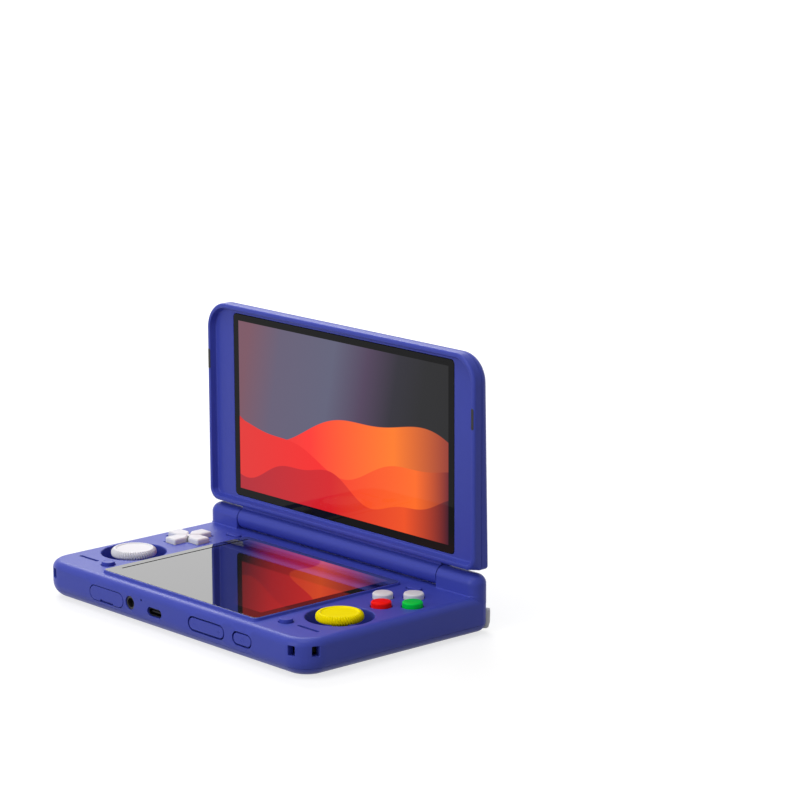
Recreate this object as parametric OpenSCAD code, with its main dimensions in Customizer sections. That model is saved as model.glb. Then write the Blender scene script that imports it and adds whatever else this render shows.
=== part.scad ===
// Clamshell handheld game console with two displays, its lid open at a right angle.
// Millimetres. +X is to the player's right, +Y towards the hinge, +Z up.
// The origin is the middle of the footprint, on the surface that the feet stand on.

/* [Base] */
// Width of the base
body_w = 180; // [178:0.5:184]
// Height of the deck above the surface that the feet stand on
deck_z = 17.2; // [17:0.1:17.5]
// Radius of the two front corners in plan
front_corner_r = 12.4; // [11:0.1:13]
// Rounding between the deck and the sides
top_edge_r = 3.7; // [3:0.1:4]
// Rounding between the sides and the underside, smaller at the rear
bottom_edge_r = 7; // [6:0.1:7]
// Height of the parting line between the two base shells
parting_z = 4.4; // [4:0.1:5]
// Wall thickness of the mouldings
wall = 2; // [1.6:0.1:2.2]

/* [Lid] */
// Width of the lid
lid_w = 178.6; // [177:0.1:179]
// Height of the lid's top edge when it stands open
lid_top_z = 122.5; // [122:0.1:123]
// Height of the lid's lower edge when it stands open
lid_low_z = 28.4; // [28:0.1:28.5]
// How far the rim stands proud of the display glass
rim_depth = 3.1; // [3:0.1:3.3]
// Width of the raised rim
rim_w = 2.2; // [2:0.1:2.6]
// Radius of the lid's upper corners
lid_corner_r = 12.7; // [11:0.1:14]
// Rounding round the back of the lid
lid_back_r = 4.4; // [3.5:0.1:4.4]

/* [Hinge] */
// Inner end of the right knuckle
right_knuckle_x = 65.8; // [65:0.1:66]
// Distance of the left knuckle's inner end from the middle, because the left knuckle is shorter
left_knuckle_x = 69.2; // [68.5:0.1:69.5]

/* [Controls] */
// Sideways distance of both sticks from the middle
stick_x = 70.3; // [70:0.1:70.5]
// Place of both sticks along the deck
stick_y = -17.2; // [-17.5:0.1:-17]
// Radius of the wells round the sticks
well_r = 14.7; // [14.5:0.1:14.8]
// Radius of the stick caps
cap_r = 10.6; // [10:0.1:10.8]
// Number of ribs round a stick cap
rib_count = 60; // [40:1:64]
// Sideways distance of the direction pad and the button cluster
pad_x = 71; // [70.5:0.1:71]
// Place of the direction pad and the button cluster along the deck
pad_y = 15; // [14.5:0.1:15.5]
// Distance of each face button from the middle of its cluster
cluster_r = 9.4; // [9.2:0.1:9.8]
// Radius of a face button
button_r = 4.45; // [4.2:0.05:4.5]
// Gap round the buttons
gap = 0.35; // [0.3:0.05:0.4]

/* [Hidden] */

shell_colour = [0.29, 0.31, 0.67];
light_grey = [0.92, 0.92, 0.93];
board_green = [0.08, 0.32, 0.18];
metal = [0.66, 0.67, 0.70];
black = [0.05, 0.05, 0.06];
dark_grey = [0.16, 0.16, 0.18];

half_w = body_w / 2;
body_front = -54;
body_back = 52;
// The rear corners follow the rounded ends of the hinge knuckles
rear_corner_r = 5.2;
rear_edge_r = 5;
hinge_y = 47;
hinge_z = 22.1;
barrel_r = 4.8;
knuckle_r = 5;
// The knuckles are a little lower than they are deep
knuckle_flat = 0.92;
hairline = 0.02;
barrel_gap = 0.4;
lid_t = 9;
floor_z = 0.6;
deck_t = 1.8;
seam = 0.12;
cavity_top = deck_z - deck_t;
cavity_inset = 2.6;

// The rear ledge under the hinge barrel is lower than the deck
ledge_z = 13.9;
ledge_y = 46.3;
rear_cavity_y = 44;

// The lower display stands on a low plateau
plateau_h = 0.7;
glass_t = 0.7;
lower_glass_x = 52.1;
lower_glass_y0 = -48.1;
lower_glass_y1 = 33.9;
lower_window_x = 50.7;
lower_window_y0 = -46.7;
lower_window_y1 = 32.5;

// Wells and sticks
well_floor_z = 9.4;
well_floor_t = 1.2;
well_low_r = 13.7;
well_hole_r = 7.2;
stick_pivot_z = 7;
cap_top_z = 19.3;
cap_low_z = 15.7;
stem_r = 1.95;
gimbal_pin_r = 0.6;
running = 0.05;

// Face buttons and their mats
button_top_z = deck_z + 2.4;
flange_low_z = 13.7;
flange_t = 0.8;
board_z = 10.4;
board_t = 1;
mat_t = 0.5;

// Direction pad
lobe_reach = 10.9;
lobe_half = 3.6;
pad_top_z = deck_z + 2.2;
pad_pivot_z = 13.5;

// Ports in the front wall
card_x = -42.6;
card_z = 9.3;
card_w = 23.5;
card_h = 6.3;
jack_x = -25.8;
jack_z = 9.9;
jack_hole_r = 3.05;
jack_bore_r = 1.8;
mic_x = -17.8;
mic_z = 12.7;
usb_x = -8.7;
usb_z = 9;
volume_x = 26.5;
power_x = 50.2;
side_key_z = 9.9;
strap_z = 11.9;
strap_angles = [-73, -23.5];

// Shoulder buttons and triggers
shoulder_proud = 1.9;
shoulder_x0 = 69.7;
shoulder_y = 48.6;
shoulder_pin_x = 67;
shoulder_pin_y = 46.6;
shoulder_pin_r = 1;
shoulder_top_z = 10.3;
shoulder_low_z = 1.7;
trigger_x0 = 55.2;
trigger_x1 = 63.8;
trigger_top_z = 9;
trigger_proud = 2;

// Exhaust slots in the rear wall
slot_count = 18;
slot_pitch = 4.53;
slot_w = 2.6;
slot_top_z = 5;

screw_spots = [[59.2, -45.6], [58.5, 0], [54, 38]];
foot_spots = [[64, -38.5], [64, 34]];

lid_front_y = hinge_y - lid_t / 2;
lid_back_y = hinge_y + lid_t / 2;
lid_face_y = lid_front_y + rim_depth;
frame_back_y = lid_face_y + 1.4;
lid_half = lid_w / 2;
lid_low_corner_r = 5.6;
lid_low_back_r = 1.5;
barrel_neck_y = lid_front_y + 1.1;
upper_glass_x = 73.6;
upper_glass_z0 = 32.65;
upper_glass_z1 = 118.2;
bumper_z = 95.2;

// Points along an arc, from angle a0 to angle a1
function arc(cx, cy, r, a0, a1, n) =
  [for (i = [0:n]) let (a = a0 + (a1 - a0) * i / n) [cx + r * cos(a), cy + r * sin(a)]];

// Rounded rectangle given by its edges
module rounded(x0, x1, y0, y1, r) {
  translate([x0 + r, y0]) square([x1 - x0 - 2 * r, y1 - y0]);
  translate([x0, y0 + r]) square([x1 - x0, y1 - y0 - 2 * r]);
  for (x = [x0 + r, x1 - r], y = [y0 + r, y1 - r]) translate([x, y]) circle(r, $fn = 48);
}

// Outline with round ends, centred, its length along X
module capsule(length, width) {
  square([length - width, width], center = true);
  for (s = [-1, 1]) translate([s * (length - width) / 2, 0]) circle(width / 2, $fn = 48);
}

// Outline drawn in X and Z, given depth along +Y from y0
module through_front(x, z, y0, depth) {
  translate([x, y0 + depth, z]) rotate([90, 0, 0]) linear_extrude(depth) children();
}

// Outline drawn in Y and Z, given width along +X from x0
module across(x0, width) {
  translate([x0, 0, 0]) rotate([90, 0, 90]) linear_extrude(width) children();
}

module both_sides() {
  children();
  mirror([1, 0, 0]) children();
}

// Disc of radius r with its two edges rounded, the corner piece of every rounded case
module puck(r, low_r, high_r, z0, z1) {
  rotate_extrude($fn = 48)
    polygon(concat(
      [[0, z0]],
      arc(r - low_r, z0 + low_r, low_r, -90, 0, 7),
      arc(r - high_r, z1 - high_r, high_r, 0, 90, 5),
      [[0, z1]]));
}

// Outer form of the closed base, grown by g all round
module base_form(g) {
  hull() {
    for (s = [-1, 1]) {
      translate([s * (half_w - front_corner_r), body_front + front_corner_r, 0])
        puck(front_corner_r + g, bottom_edge_r + g, top_edge_r + g, floor_z - g, deck_z + g);
      translate([s * (half_w - rear_corner_r), body_back - rear_corner_r, 0])
        puck(rear_corner_r + g, rear_edge_r + g, top_edge_r + g, floor_z - g, deck_z + g);
    }
  }
}

// Rounded block at the end of the hinge, standing on the deck from inner_x outwards
module knuckle(inner_x) {
  end_x = half_w - knuckle_r;
  hull() {
    translate([end_x, hinge_y, hinge_z]) scale([1, 1, knuckle_flat])
      sphere(knuckle_r, $fn = 32);
    translate([end_x, hinge_y, ledge_z - 3]) cylinder(h = 4, r = knuckle_r, $fn = 32);
    translate([inner_x, hinge_y, hinge_z]) scale([1, 1, knuckle_flat]) rotate([0, 90, 0])
      cylinder(h = 1, r = knuckle_r, $fn = 32);
    translate([inner_x, hinge_y - knuckle_r, ledge_z - 3]) cube([1, 2 * knuckle_r, 4]);
  }
}

// Bore in a knuckle for its friction sleeve
module sleeve_pocket(inner_x) {
  translate([inner_x - 1, hinge_y, hinge_z]) rotate([0, 90, 0])
    cylinder(h = 15.6, r = 3, $fn = 48);
}

// Space inside the base, open at the parting line
module base_cavity() {
  i = cavity_inset;
  translate([0, 0, parting_z - 3]) linear_extrude(cavity_top - parting_z + 3)
    rounded(-half_w + i, half_w - i, body_front + i, rear_cavity_y, 9);
  translate([0, 0, parting_z - 3]) linear_extrude(ledge_z - deck_t - parting_z + 3)
    rounded(-half_w + i, half_w - i, body_front + 20, body_back - i, 4.8);
}

// Cup that closes the deck round a stick
module well_cup() {
  translate([stick_x, stick_y, well_floor_z - well_floor_t])
    cylinder(h = cavity_top - well_floor_z + well_floor_t + 0.6, r1 = well_low_r + 1.4,
      r2 = well_r + 1.2, $fn = 96);
}

module well_hollow() {
  translate([stick_x, stick_y, well_floor_z])
    cylinder(h = deck_z - well_floor_z, r1 = well_low_r, r2 = well_r, $fn = 96);
  translate([stick_x, stick_y, deck_z - 0.5])
    cylinder(h = 0.6, r1 = well_r, r2 = well_r + 0.6, $fn = 96);
  translate([stick_x, stick_y, 0]) cylinder(h = 12, r = well_hole_r, $fn = 64);
}

// One arm of the direction pad, pointing along +X, grown by g
module lobe(g, corner) {
  h = lobe_half + g;
  polygon(concat(
    [[0.4 - g, -0.1 - g / 2], [lobe_half + 0.7 - 0.4 * g, -h]],
    arc(lobe_reach + g - corner, -h + corner, corner, -90, 0, 3),
    arc(lobe_reach + g - corner, h - corner, corner, 0, 90, 3),
    [[lobe_half + 0.7 - 0.4 * g, h], [0.4 - g, 0.1 + g / 2]]));
}

module pad_outline(g, corner) {
  for (a = [0:90:270]) rotate(a) lobe(g, corner);
  circle(1.3 + g, $fn = 32);
}

module deck_openings() {
  both_sides() {
    well_hollow();
    // Speaker slot
    translate([75.1, -38.7, 0]) linear_extrude(30) capsule(13.2, 0.9);
    // Round button beside the display
    translate([61, -38.7, 0]) cylinder(h = 30, r = 2.95 + gap, $fn = 48);
    // Oblong button near the hinge
    translate([61.1, 33.8, 0]) linear_extrude(30) capsule(8.1 + 2 * gap, 3.6 + 2 * gap);
  }
  translate([-pad_x, pad_y, 0]) linear_extrude(30) {
    pad_outline(gap + 0.1, 0.25);
    // Relief at the outer corners of each opening
    for (a = [0:90:270], s = [-1, 1]) rotate(a)
      translate([lobe_reach + 0.25, s * (lobe_half + 0.25)]) circle(0.55, $fn = 24);
  }
  for (a = [0:90:270]) translate([pad_x, pad_y, 0]) rotate(a) translate([cluster_r, 0, 0])
    cylinder(h = 30, r = button_r + gap, $fn = 64);
  translate([0, 0, 10]) linear_extrude(20)
    rounded(-lower_window_x, lower_window_x, lower_window_y0, lower_window_y1, 1);
}

// Pair of slots round a front corner that a wrist strap threads through
module strap_slots() {
  cx = half_w - front_corner_r;
  cy = body_front + front_corner_r;
  for (a = strap_angles) translate([cx, cy, strap_z]) rotate([0, 0, a])
    translate([front_corner_r - 3.6, -1.7, -2.15]) cube([6, 3.4, 4.3]);
  // Passage behind the post that the strap goes round
  translate([cx, cy, strap_z - 1.9]) rotate([0, 0, -78]) rotate_extrude(angle = 60, $fn = 64)
    translate([front_corner_r - 5, 0]) square([2.6, 3.8]);
}

// Curved block that closes the strap slots off from the inside
module strap_block() {
  translate([half_w - front_corner_r, body_front + front_corner_r, strap_z - 3.5])
    rotate([0, 0, -95]) rotate_extrude(angle = 100, $fn = 64)
      translate([front_corner_r - 6.2, 0]) square([5.4, cavity_top - strap_z + 4]);
}

module front_ports() {
  y0 = body_front - 1;
  through_front(card_x, card_z, y0, 6) capsule(card_w + 2 * gap, card_h + 2 * gap);
  through_front(jack_x, jack_z, y0, 6) circle(jack_hole_r, $fn = 64);
  through_front(mic_x, mic_z, y0, 6) circle(0.5, $fn = 24);
  through_front(usb_x, usb_z, y0, 6) capsule(9.8, 3.9);
  through_front(volume_x, side_key_z, y0, 6) capsule(24.3, 6.6);
  through_front(power_x, side_key_z, y0, 6) capsule(12.7, 6.1);
}

module exhaust_slots() {
  for (i = [0:slot_count - 1])
    through_front((i - (slot_count - 1) / 2) * slot_pitch, 0, 43, 12) {
      translate([-slot_w / 2, -1]) square([slot_w, slot_top_z + 1 - slot_w / 2]);
      translate([0, slot_top_z - slot_w / 2]) circle(slot_w / 2, $fn = 32);
    }
}

// Plan of a shoulder button: along the rear wall and half way round the corner. A window is this
// plan grown by g, and 3 g inwards, where the button swings when it is pressed
module shoulder_plan(g) {
  cx = half_w - rear_corner_r;
  cy = body_back - rear_corner_r;
  end = 49 - 18 * g;
  polygon([
    [shoulder_x0 - g, shoulder_y - 3 * g], [cx - 1, shoulder_y - 3 * g],
    [cx + 3 * cos(end), cy + 3 * sin(end) - 3 * g],
    [cx + 20 * cos(end), cy + 20 * sin(end)], [shoulder_x0 - g, cy + 20]]);
}

module shoulder_windows() {
  both_sides() {
    translate([0, 0, shoulder_low_z - 0.4])
      linear_extrude(shoulder_top_z + 1 - shoulder_low_z + 0.4) shoulder_plan(0.4);
    translate([trigger_x0 - 0.35, 44, 1.3]) cube([trigger_x1 - trigger_x0 + 0.7, 12, 8.05]);
  }
}

module screw_posts(z0, z1, r) {
  for (s = [-1, 1], p = screw_spots) translate([s * p[0], p[1], z0])
    cylinder(h = z1 - z0, r = r, $fn = 32);
}

module base_top_shell() color(shell_colour) difference() {
  union() {
    difference() {
      union() {
        intersection() {
          base_form(0);
          translate([-100, -100, parting_z]) cube([200, 200, 40]);
        }
        translate([0, 0, deck_z - 1]) linear_extrude(plateau_h + 1)
          rounded(-lower_glass_x - 0.3, lower_glass_x + 0.3, lower_glass_y0 - 0.3,
            lower_glass_y1 + 0.3, 2.2);
        knuckle(right_knuckle_x);
        mirror([1, 0, 0]) knuckle(left_knuckle_x);
      }
      base_cavity();
    }
    both_sides() {
      well_cup();
      strap_block();
    }
    screw_posts(parting_z, cavity_top + 0.5, 2.4);
  }
  deck_openings();
  both_sides() strap_slots();
  sleeve_pocket(right_knuckle_x);
  mirror([1, 0, 0]) sleeve_pocket(left_knuckle_x);
  front_ports();
  exhaust_slots();
  shoulder_windows();
  translate([-left_knuckle_x, ledge_y, ledge_z])
    cube([left_knuckle_x + right_knuckle_x, 20, 20]);
  // Hairline joint under the two hinge blocks
  translate([-100, hinge_y - knuckle_r - 1, deck_z]) cube([200, 20, hairline]);
  screw_posts(parting_z - 1, 12, 1);
}

module base_bottom_cover() color(shell_colour) difference() {
  union() {
    difference() {
      intersection() {
        base_form(0);
        translate([-100, -100, -1]) cube([200, 200, parting_z + 1 - seam]);
      }
      translate([0, 0, floor_z + 1.6]) linear_extrude(10)
        rounded(-half_w + 4.2, half_w - 4.2, body_front + 4.2, body_back - 4.2, 4);
    }
    // Lip that locates the upper shell
    translate([0, 0, floor_z + 1.4]) linear_extrude(3.8) difference() {
      rounded(-half_w + 3, half_w - 3, body_front + 3, body_back - 3, 8.4);
      rounded(-half_w + 4.2, half_w - 4.2, body_front + 4.2, body_back - 4.2, 7.2);
    }
    screw_posts(floor_z + 1, parting_z - seam, 2.4);
    // Bosses that hold the shoulder pins
    for (s = [-1, 1]) translate([s * shoulder_pin_x, shoulder_pin_y, floor_z + 1])
      cylinder(h = 1.6, r = 2, $fn = 32);
  }
  exhaust_slots();
  shoulder_windows();
  screw_posts(-1, floor_z + 1.5, 2.1);
  screw_posts(-1, parting_z + 1, 1.1);
  // Air intake under the fan
  for (i = [-4:4]) translate([i * 3.2, 20, -1]) linear_extrude(5) rotate(90) capsule(22, 1.6);
  for (s = [-1, 1], p = foot_spots) translate([s * p[0], p[1], -1])
    linear_extrude(floor_z + 1.5) capsule(16.4, 6.4);
  for (s = [-1, 1]) translate([s * shoulder_pin_x, shoulder_pin_y, floor_z + 0.9])
    cylinder(h = 4, r = shoulder_pin_r, $fn = 32);
}

module lower_glass() color(black) translate([0, 0, deck_z + plateau_h]) linear_extrude(glass_t)
  rounded(-lower_glass_x, lower_glass_x, lower_glass_y0, lower_glass_y1, 2);

module lower_panel() color(dark_grey) translate([0, 0, deck_z - 2.6])
  linear_extrude(2.6 + plateau_h)
    rounded(-lower_window_x + 0.2, lower_window_x - 0.2, lower_window_y0 + 0.2,
      lower_window_y1 - 0.2, 0.9);

// Board that carries the processor, the memory and the sockets at the front edge
module main_board() color(board_green) {
  difference() {
    translate([0, 0, 5.8]) linear_extrude(1.2) difference() {
      union() {
        rounded(-53, 10, -50.8, 0, 2);
        rounded(-53, 52, -47.4, 40, 2);
      }
      translate([-47, -29]) square([94, 38]);
      translate([0, 24]) circle(16.4, $fn = 64);
      translate([-14, 24]) square([28, 20]);
    }
    screw_posts(0, 20, 3);
  }
  // Packages soldered to the board
  for (b = [[26, 12, 14, 14, 2.2], [30, 29, 9, 9, 1.1], [-40, 13, 12, 9, 1.2],
      [-38, 27, 10, 10, 1.4], [4, -44, 8, 8, 1], [32, -42, 10, 7, 1.2], [-46, -34.4, 5, 4, 1]])
    translate([b[0], b[1], 6.9]) cube([b[2], b[3], b[4] + 0.1]);
}

module battery() color([0.75, 0.76, 0.78]) translate([0, 0, 2.5]) linear_extrude(7)
  rounded(-45, 45, -28, 8, 1.5);

// Blower case, open below and at the outlet towards the fins
module fan_housing() color(dark_grey) translate([0, 24, 2.5]) difference() {
  linear_extrude(7) union() {
    circle(15.6, $fn = 96);
    translate([-12, 0]) square([24, 17.5]);
  }
  translate([0, 0, -1]) linear_extrude(6.6) union() {
    circle(14.4, $fn = 96);
    translate([-10.8, 0]) square([21.6, 20]);
  }
  translate([0, 0, 2]) cylinder(h = 8, r = 8.5, $fn = 64);
}

// Hub with swept blades
module fan_rotor() color([0.1, 0.1, 0.11]) translate([0, 24, 0]) difference() {
  union() {
    translate([0, 0, 2.7]) cylinder(h = 4.9, r = 5, $fn = 64);
    for (a = [0:24:336]) rotate(a) translate([4.4, 0, 2.9]) linear_extrude(4.2)
      rotate(-24) square([9, 0.8]);
  }
  translate([0, 0, 5]) cylinder(h = 5, r = 3.6, $fn = 48);
}

module heat_sink() color(metal) {
  translate([-40, 41.5, 2.4]) cube([80, 6, 0.6]);
  translate([-40, 41.5, 8.7]) cube([80, 6, 0.5]);
  for (i = [0:26]) translate([-40 + i * (79.5 / 26), 41.5, 2.9]) cube([0.5, 6, 5.9]);
}

module heat_pipe() color([0.72, 0.42, 0.25]) translate([0, 0, 9.2]) linear_extrude(1.6) union() {
  rounded(-36, 38, 42, 47, 2.4);
  rounded(31, 36.5, 14, 47, 2.4);
}

// Housing under a stick, with journals for the rocker's pins
module stick_module() {
  translate([stick_x, stick_y, 0]) difference() {
    translate([-8.5, -8.5, 2.4]) cube([17, 17, 5.7]);
    translate([-7, -7, 3.6]) cube([14, 14, 6]);
    translate([-10, 0, stick_pivot_z]) rotate([0, 90, 0])
      cylinder(h = 20, r = gimbal_pin_r + running, $fn = 32);
  }
}

// Ring that tilts about X and carries the pivot
module stick_rocker() {
  translate([stick_x, stick_y, stick_pivot_z]) difference() {
    union() {
      translate([-5.2, -4.3, -1.2]) cube([10.4, 8.6, 2.4]);
      translate([-8.2, 0, 0]) rotate([0, 90, 0]) cylinder(h = 16.4, r = gimbal_pin_r, $fn = 32);
    }
    translate([-3.6, -3.45, -3]) cube([7.2, 6.9, 6]);
    translate([0, 6, 0]) rotate([90, 0, 0])
      cylinder(h = 12, r = gimbal_pin_r + running, $fn = 32);
  }
}

// Ball that tilts about Y in the rocker and guides the stem
module stick_pivot() {
  translate([stick_x, stick_y, stick_pivot_z]) difference() {
    union() {
      sphere(3.1, $fn = 64);
      translate([0, 4.2, 0]) rotate([90, 0, 0]) cylinder(h = 8.4, r = gimbal_pin_r, $fn = 32);
    }
    translate([0, 0, -5]) cylinder(h = 10, r = stem_r + running, $fn = 48);
  }
}

module stick_stem() {
  translate([stick_x, stick_y, stick_pivot_z - 1.8]) cylinder(h = 11.8, r = stem_r, $fn = 48);
}

// Ribbed cap with a raised ring round a dished top
module stick_cap() {
  top = cap_top_z;
  profile = concat(
    [[0, cap_low_z], [8.4, cap_low_z]],
    arc(cap_r - 1.9, cap_low_z + 1.5, 1.9, -52, 0, 4),
    arc(cap_r - 1.7, top - 1.9, 1.7, 0, 78, 6),
    arc(7.8, top - 0.5, 0.5, 60, 120, 3),
    arc(6.4, top - 0.1, 0.4, -30, -90, 3),
    [[0, top - 0.2]]);
  difference() {
    union() {
      intersection() {
        rotate_extrude($fn = 96) polygon(profile);
        translate([0, 0, cap_low_z - 1]) linear_extrude(6)
          polygon([for (i = [0:2 * rib_count - 1])
            let (a = 180 * i / rib_count, r = cap_r - (i % 2) * 0.35) [r * cos(a), r * sin(a)]]);
      }
      translate([0, 0, cap_low_z - 3]) cylinder(h = 3.2, r = 3.4, $fn = 48);
    }
    translate([0, 0, cap_low_z - 4]) cylinder(h = 5.4, r = stem_r, $fn = 48);
  }
}

module button_board() {
  translate([0, 0, board_z]) linear_extrude(board_t) difference() {
    rounded(58, 86, 1.2, 30.2, 2);
    translate([58.5, 0]) circle(2.8, $fn = 32);
  }
}

// Soft mat with a low dome under each contact
module dome_mat() {
  translate([0, 0, board_z + board_t]) {
    linear_extrude(mat_t) rounded(58.6, 84.8, 3.6, 29.5, 3);
    translate([pad_x, pad_y, mat_t - 0.1]) for (a = [0:90:270]) rotate(a)
      translate([cluster_r - 0.2, 0, 0]) cylinder(h = 0.5, r1 = 2.6, r2 = 1.6, $fn = 32);
  }
}

// Four-armed rocking pad on a central ball
module dpad() color(light_grey) translate([-pad_x, pad_y, 0]) difference() {
  union() {
    translate([0, 0, pad_pivot_z]) linear_extrude(pad_top_z - 0.5 - pad_pivot_z)
      pad_outline(0, 0.9);
    for (a = [0:90:270]) rotate(a) hull() {
      translate([0, 0, pad_top_z - 0.6]) linear_extrude(0.1) lobe(0, 0.9);
      translate([0, 0, pad_top_z - 0.1]) linear_extrude(0.1) lobe(-0.45, 0.8);
    }
    // Catches under the deck between the lobes
    translate([0, 0, pad_pivot_z]) cylinder(h = 0.6, r = 9.2, $fn = 64);
    translate([0, 0, pad_top_z - 1]) cylinder(h = 0.8, r = 1.3, $fn = 32);
  }
  translate([0, 0, pad_pivot_z]) sphere(1.6, $fn = 48);
}

module dpad_pivot() color(dark_grey) translate([-pad_x, pad_y, pad_pivot_z]) {
  sphere(1.5, $fn = 48);
  translate([0, 0, -1.3]) cylinder(h = 1, r = 1.1, $fn = 32);
}

// Round push button with a retaining flange and a softly dished top
module face_button(a) {
  profile = concat(
    [[0, flange_low_z], [button_r + 0.9, flange_low_z], [button_r + 0.9, flange_low_z + flange_t],
      [button_r, flange_low_z + flange_t]],
    arc(button_r - 0.7, button_top_z - 0.7, 0.7, 0, 80, 4),
    [[button_r - 1.5, button_top_z - 0.02], [button_r - 2.4, button_top_z - 0.12],
      [0, button_top_z - 0.3]]);
  translate([pad_x, pad_y, 0]) rotate(a) translate([cluster_r, 0, 0])
    rotate_extrude($fn = 64) polygon(profile);
}

// Small round button beside the display
module small_button() {
  top = deck_z + 1.4;
  r = 2.95;
  translate([61, -38.7, 0]) rotate_extrude($fn = 48) polygon(concat(
    [[0, flange_low_z], [r + 0.8, flange_low_z], [r + 0.8, flange_low_z + flange_t],
      [r, flange_low_z + flange_t]],
    arc(r - 0.5, top - 0.5, 0.5, 0, 90, 3),
    [[0, top]]));
}

// Oblong button near the hinge
module menu_button() {
  translate([61.1, 33.8, flange_low_z]) {
    linear_extrude(deck_z + 0.8 - flange_low_z) capsule(8.1, 3.6);
    translate([0, 0, 1]) linear_extrude(deck_z + 0.1 - flange_low_z) capsule(7.4, 2.9);
    linear_extrude(flange_t) capsule(9.7, 5.2);
  }
}

// Shoulder button that follows the rear corner, on an eye round its pin
module shoulder() {
  difference() {
    union() {
      intersection() {
        base_form(shoulder_proud);
        translate([0, 0, shoulder_low_z]) linear_extrude(shoulder_top_z + 0.6 - shoulder_low_z)
          shoulder_plan(0);
      }
      translate([shoulder_pin_x, shoulder_pin_y, 6]) cylinder(h = 3, r = 2.1, $fn = 48);
      translate([shoulder_pin_x, shoulder_pin_y - 1, 6]) cube([5, 3.1, 3]);
    }
    // Shallow sweep along the upper edge
    translate([78.5, 60, shoulder_top_z + 38.9]) rotate([90, 0, 0])
      cylinder(h = 30, r = 39.6, $fn = 180);
    translate([shoulder_pin_x, shoulder_pin_y, 0])
      cylinder(h = 20, r = shoulder_pin_r + running, $fn = 32);
  }
}

// Inner shoulder button: its rear face is flat and its lower end follows the rounded case
module trigger() {
  r = rear_edge_r + trigger_proud;
  cy = body_back - rear_edge_r;
  cz = floor_z + rear_edge_r;
  intersection() {
    across(trigger_x0, trigger_x1 - trigger_x0) polygon(concat(
      [[46, 1.8], [cy + sqrt(r * r - (cz - 1.8) * (cz - 1.8)), 1.8]],
      arc(cy, cz, r, asin((1.8 - cz) / r) + 4, 0, 8),
      arc(cy + r - 1, trigger_top_z - 1, 1, 0, 90, 4),
      [[46, trigger_top_z]]));
    through_front((trigger_x0 + trigger_x1) / 2, 0, 40, 20)
      rounded((trigger_x0 - trigger_x1) / 2, (trigger_x1 - trigger_x0) / 2, 1.8, trigger_top_z, 1.6);
  }
  // Tabs that keep it from leaving the wall
  translate([trigger_x0 - 0.8, 46, 3.6]) cube([trigger_x1 - trigger_x0 + 1.6, 1.3, 4]);
}

module shoulder_pins() color(metal) for (s = [-1, 1])
  translate([s * shoulder_pin_x, shoulder_pin_y, floor_z + 1])
    cylinder(h = 10, r = shoulder_pin_r, $fn = 32);

module speaker() {
  translate([75.1, -38.7, 9.4]) {
    linear_extrude(4.6) rounded(-8, 8, -4.5, 4.5, 3);
    translate([0, 0, 4.5]) linear_extrude(0.8) rounded(-7, 7, -3.5, 3.5, 2.6);
  }
}

// Receptacle with a hollow mouth round its contact tongue
module usb_socket() color(metal) {
  difference() {
    through_front(usb_x, usb_z, -53.2, 7.6) capsule(8.94, 3.2);
    through_front(usb_x, usb_z, -54, 7) capsule(8.34, 2.6);
  }
  through_front(usb_x, usb_z, -52.4, 6.4) square([6.7, 0.7], center = true);
}

module headphone_jack() color(black) difference() {
  union() {
    through_front(jack_x, jack_z, -53.4, 3) circle(2.9, $fn = 64);
    through_front(jack_x, jack_z, -50.6, 12.4) rounded(-3.2, 3.2, -2.9, 2.9, 0.5);
  }
  through_front(jack_x, jack_z, -54, 15.2) circle(jack_bore_r, $fn = 64);
  // Wider mouth that leads the plug in
  through_front(jack_x, jack_z, -54, 2.8) circle(jack_bore_r + 0.3, $fn = 64);
}

module card_socket() color(metal) difference() {
  translate([card_x - 7, -50.6, 7.1]) cube([14, 15, 2.1]);
  translate([card_x - 5.6, -51, 7.7]) cube([11.2, 14, 1]);
}

// Flap over the memory card slot, with a nail notch in its lower edge
module card_cover() color(shell_colour) difference() {
  through_front(card_x, card_z, body_front, 1.8) capsule(card_w, card_h);
  translate([card_x - 4.6, body_front - 1, card_z - card_h / 2 - 1]) cube([9.2, 2, 1.9]);
}

// Long key that rocks about its middle
module volume_rocker() color(shell_colour) {
  through_front(volume_x, side_key_z, body_front + 0.1, 3.5) capsule(23.3, 5.6);
  through_front(volume_x, side_key_z, body_front + 3.5, 0.8) capsule(25.2, 7.2);
}

module power_button() color(shell_colour) {
  through_front(power_x, side_key_z, body_front + 0.1, 3.2) capsule(11.8, 5.2);
  through_front(power_x, side_key_z, body_front + 3.2, 0.8) capsule(13.6, 7);
}

// Upright board behind the side keys, with their switches
module side_switch_board() color(board_green) {
  translate([13, -46.9, 7]) cube([41, 1, 7]);
  for (x = [17.5, 35.5, power_x]) translate([x - 1.8, -48, 8.4]) cube([3.6, 1.2, 3]);
}

// Friction sleeve that sits in the knuckle that starts at inner_x
module hinge_cartridge(inner_x) {
  translate([inner_x + 0.2, hinge_y, hinge_z]) rotate([0, 90, 0]) difference() {
    cylinder(h = 14.4, r = 2.95, $fn = 48);
    translate([0, 0, -1]) cylinder(h = 13.6, r = 1.8 + running, $fn = 48);
  }
}

// Shaft from the barrel into the friction sleeve
module hinge_shaft(inner_x) {
  translate([inner_x - 12.6, hinge_y, hinge_z]) rotate([0, 90, 0])
    cylinder(h = 24.4, r = 1.8, $fn = 48);
}

// Runs of the barrel and of the strip under it, from knuckle to knuckle
module between_knuckles(clear) {
  across(clear - left_knuckle_x, left_knuckle_x + right_knuckle_x - 2 * clear) children();
}

module hinge_strip() color(metal) between_knuckles(barrel_gap + 0.1) union() {
  translate([50, ledge_z]) square([1.5, 1.6]);
  translate([50.75, ledge_z + 1.66]) circle(0.65, $fn = 32);
}

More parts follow.
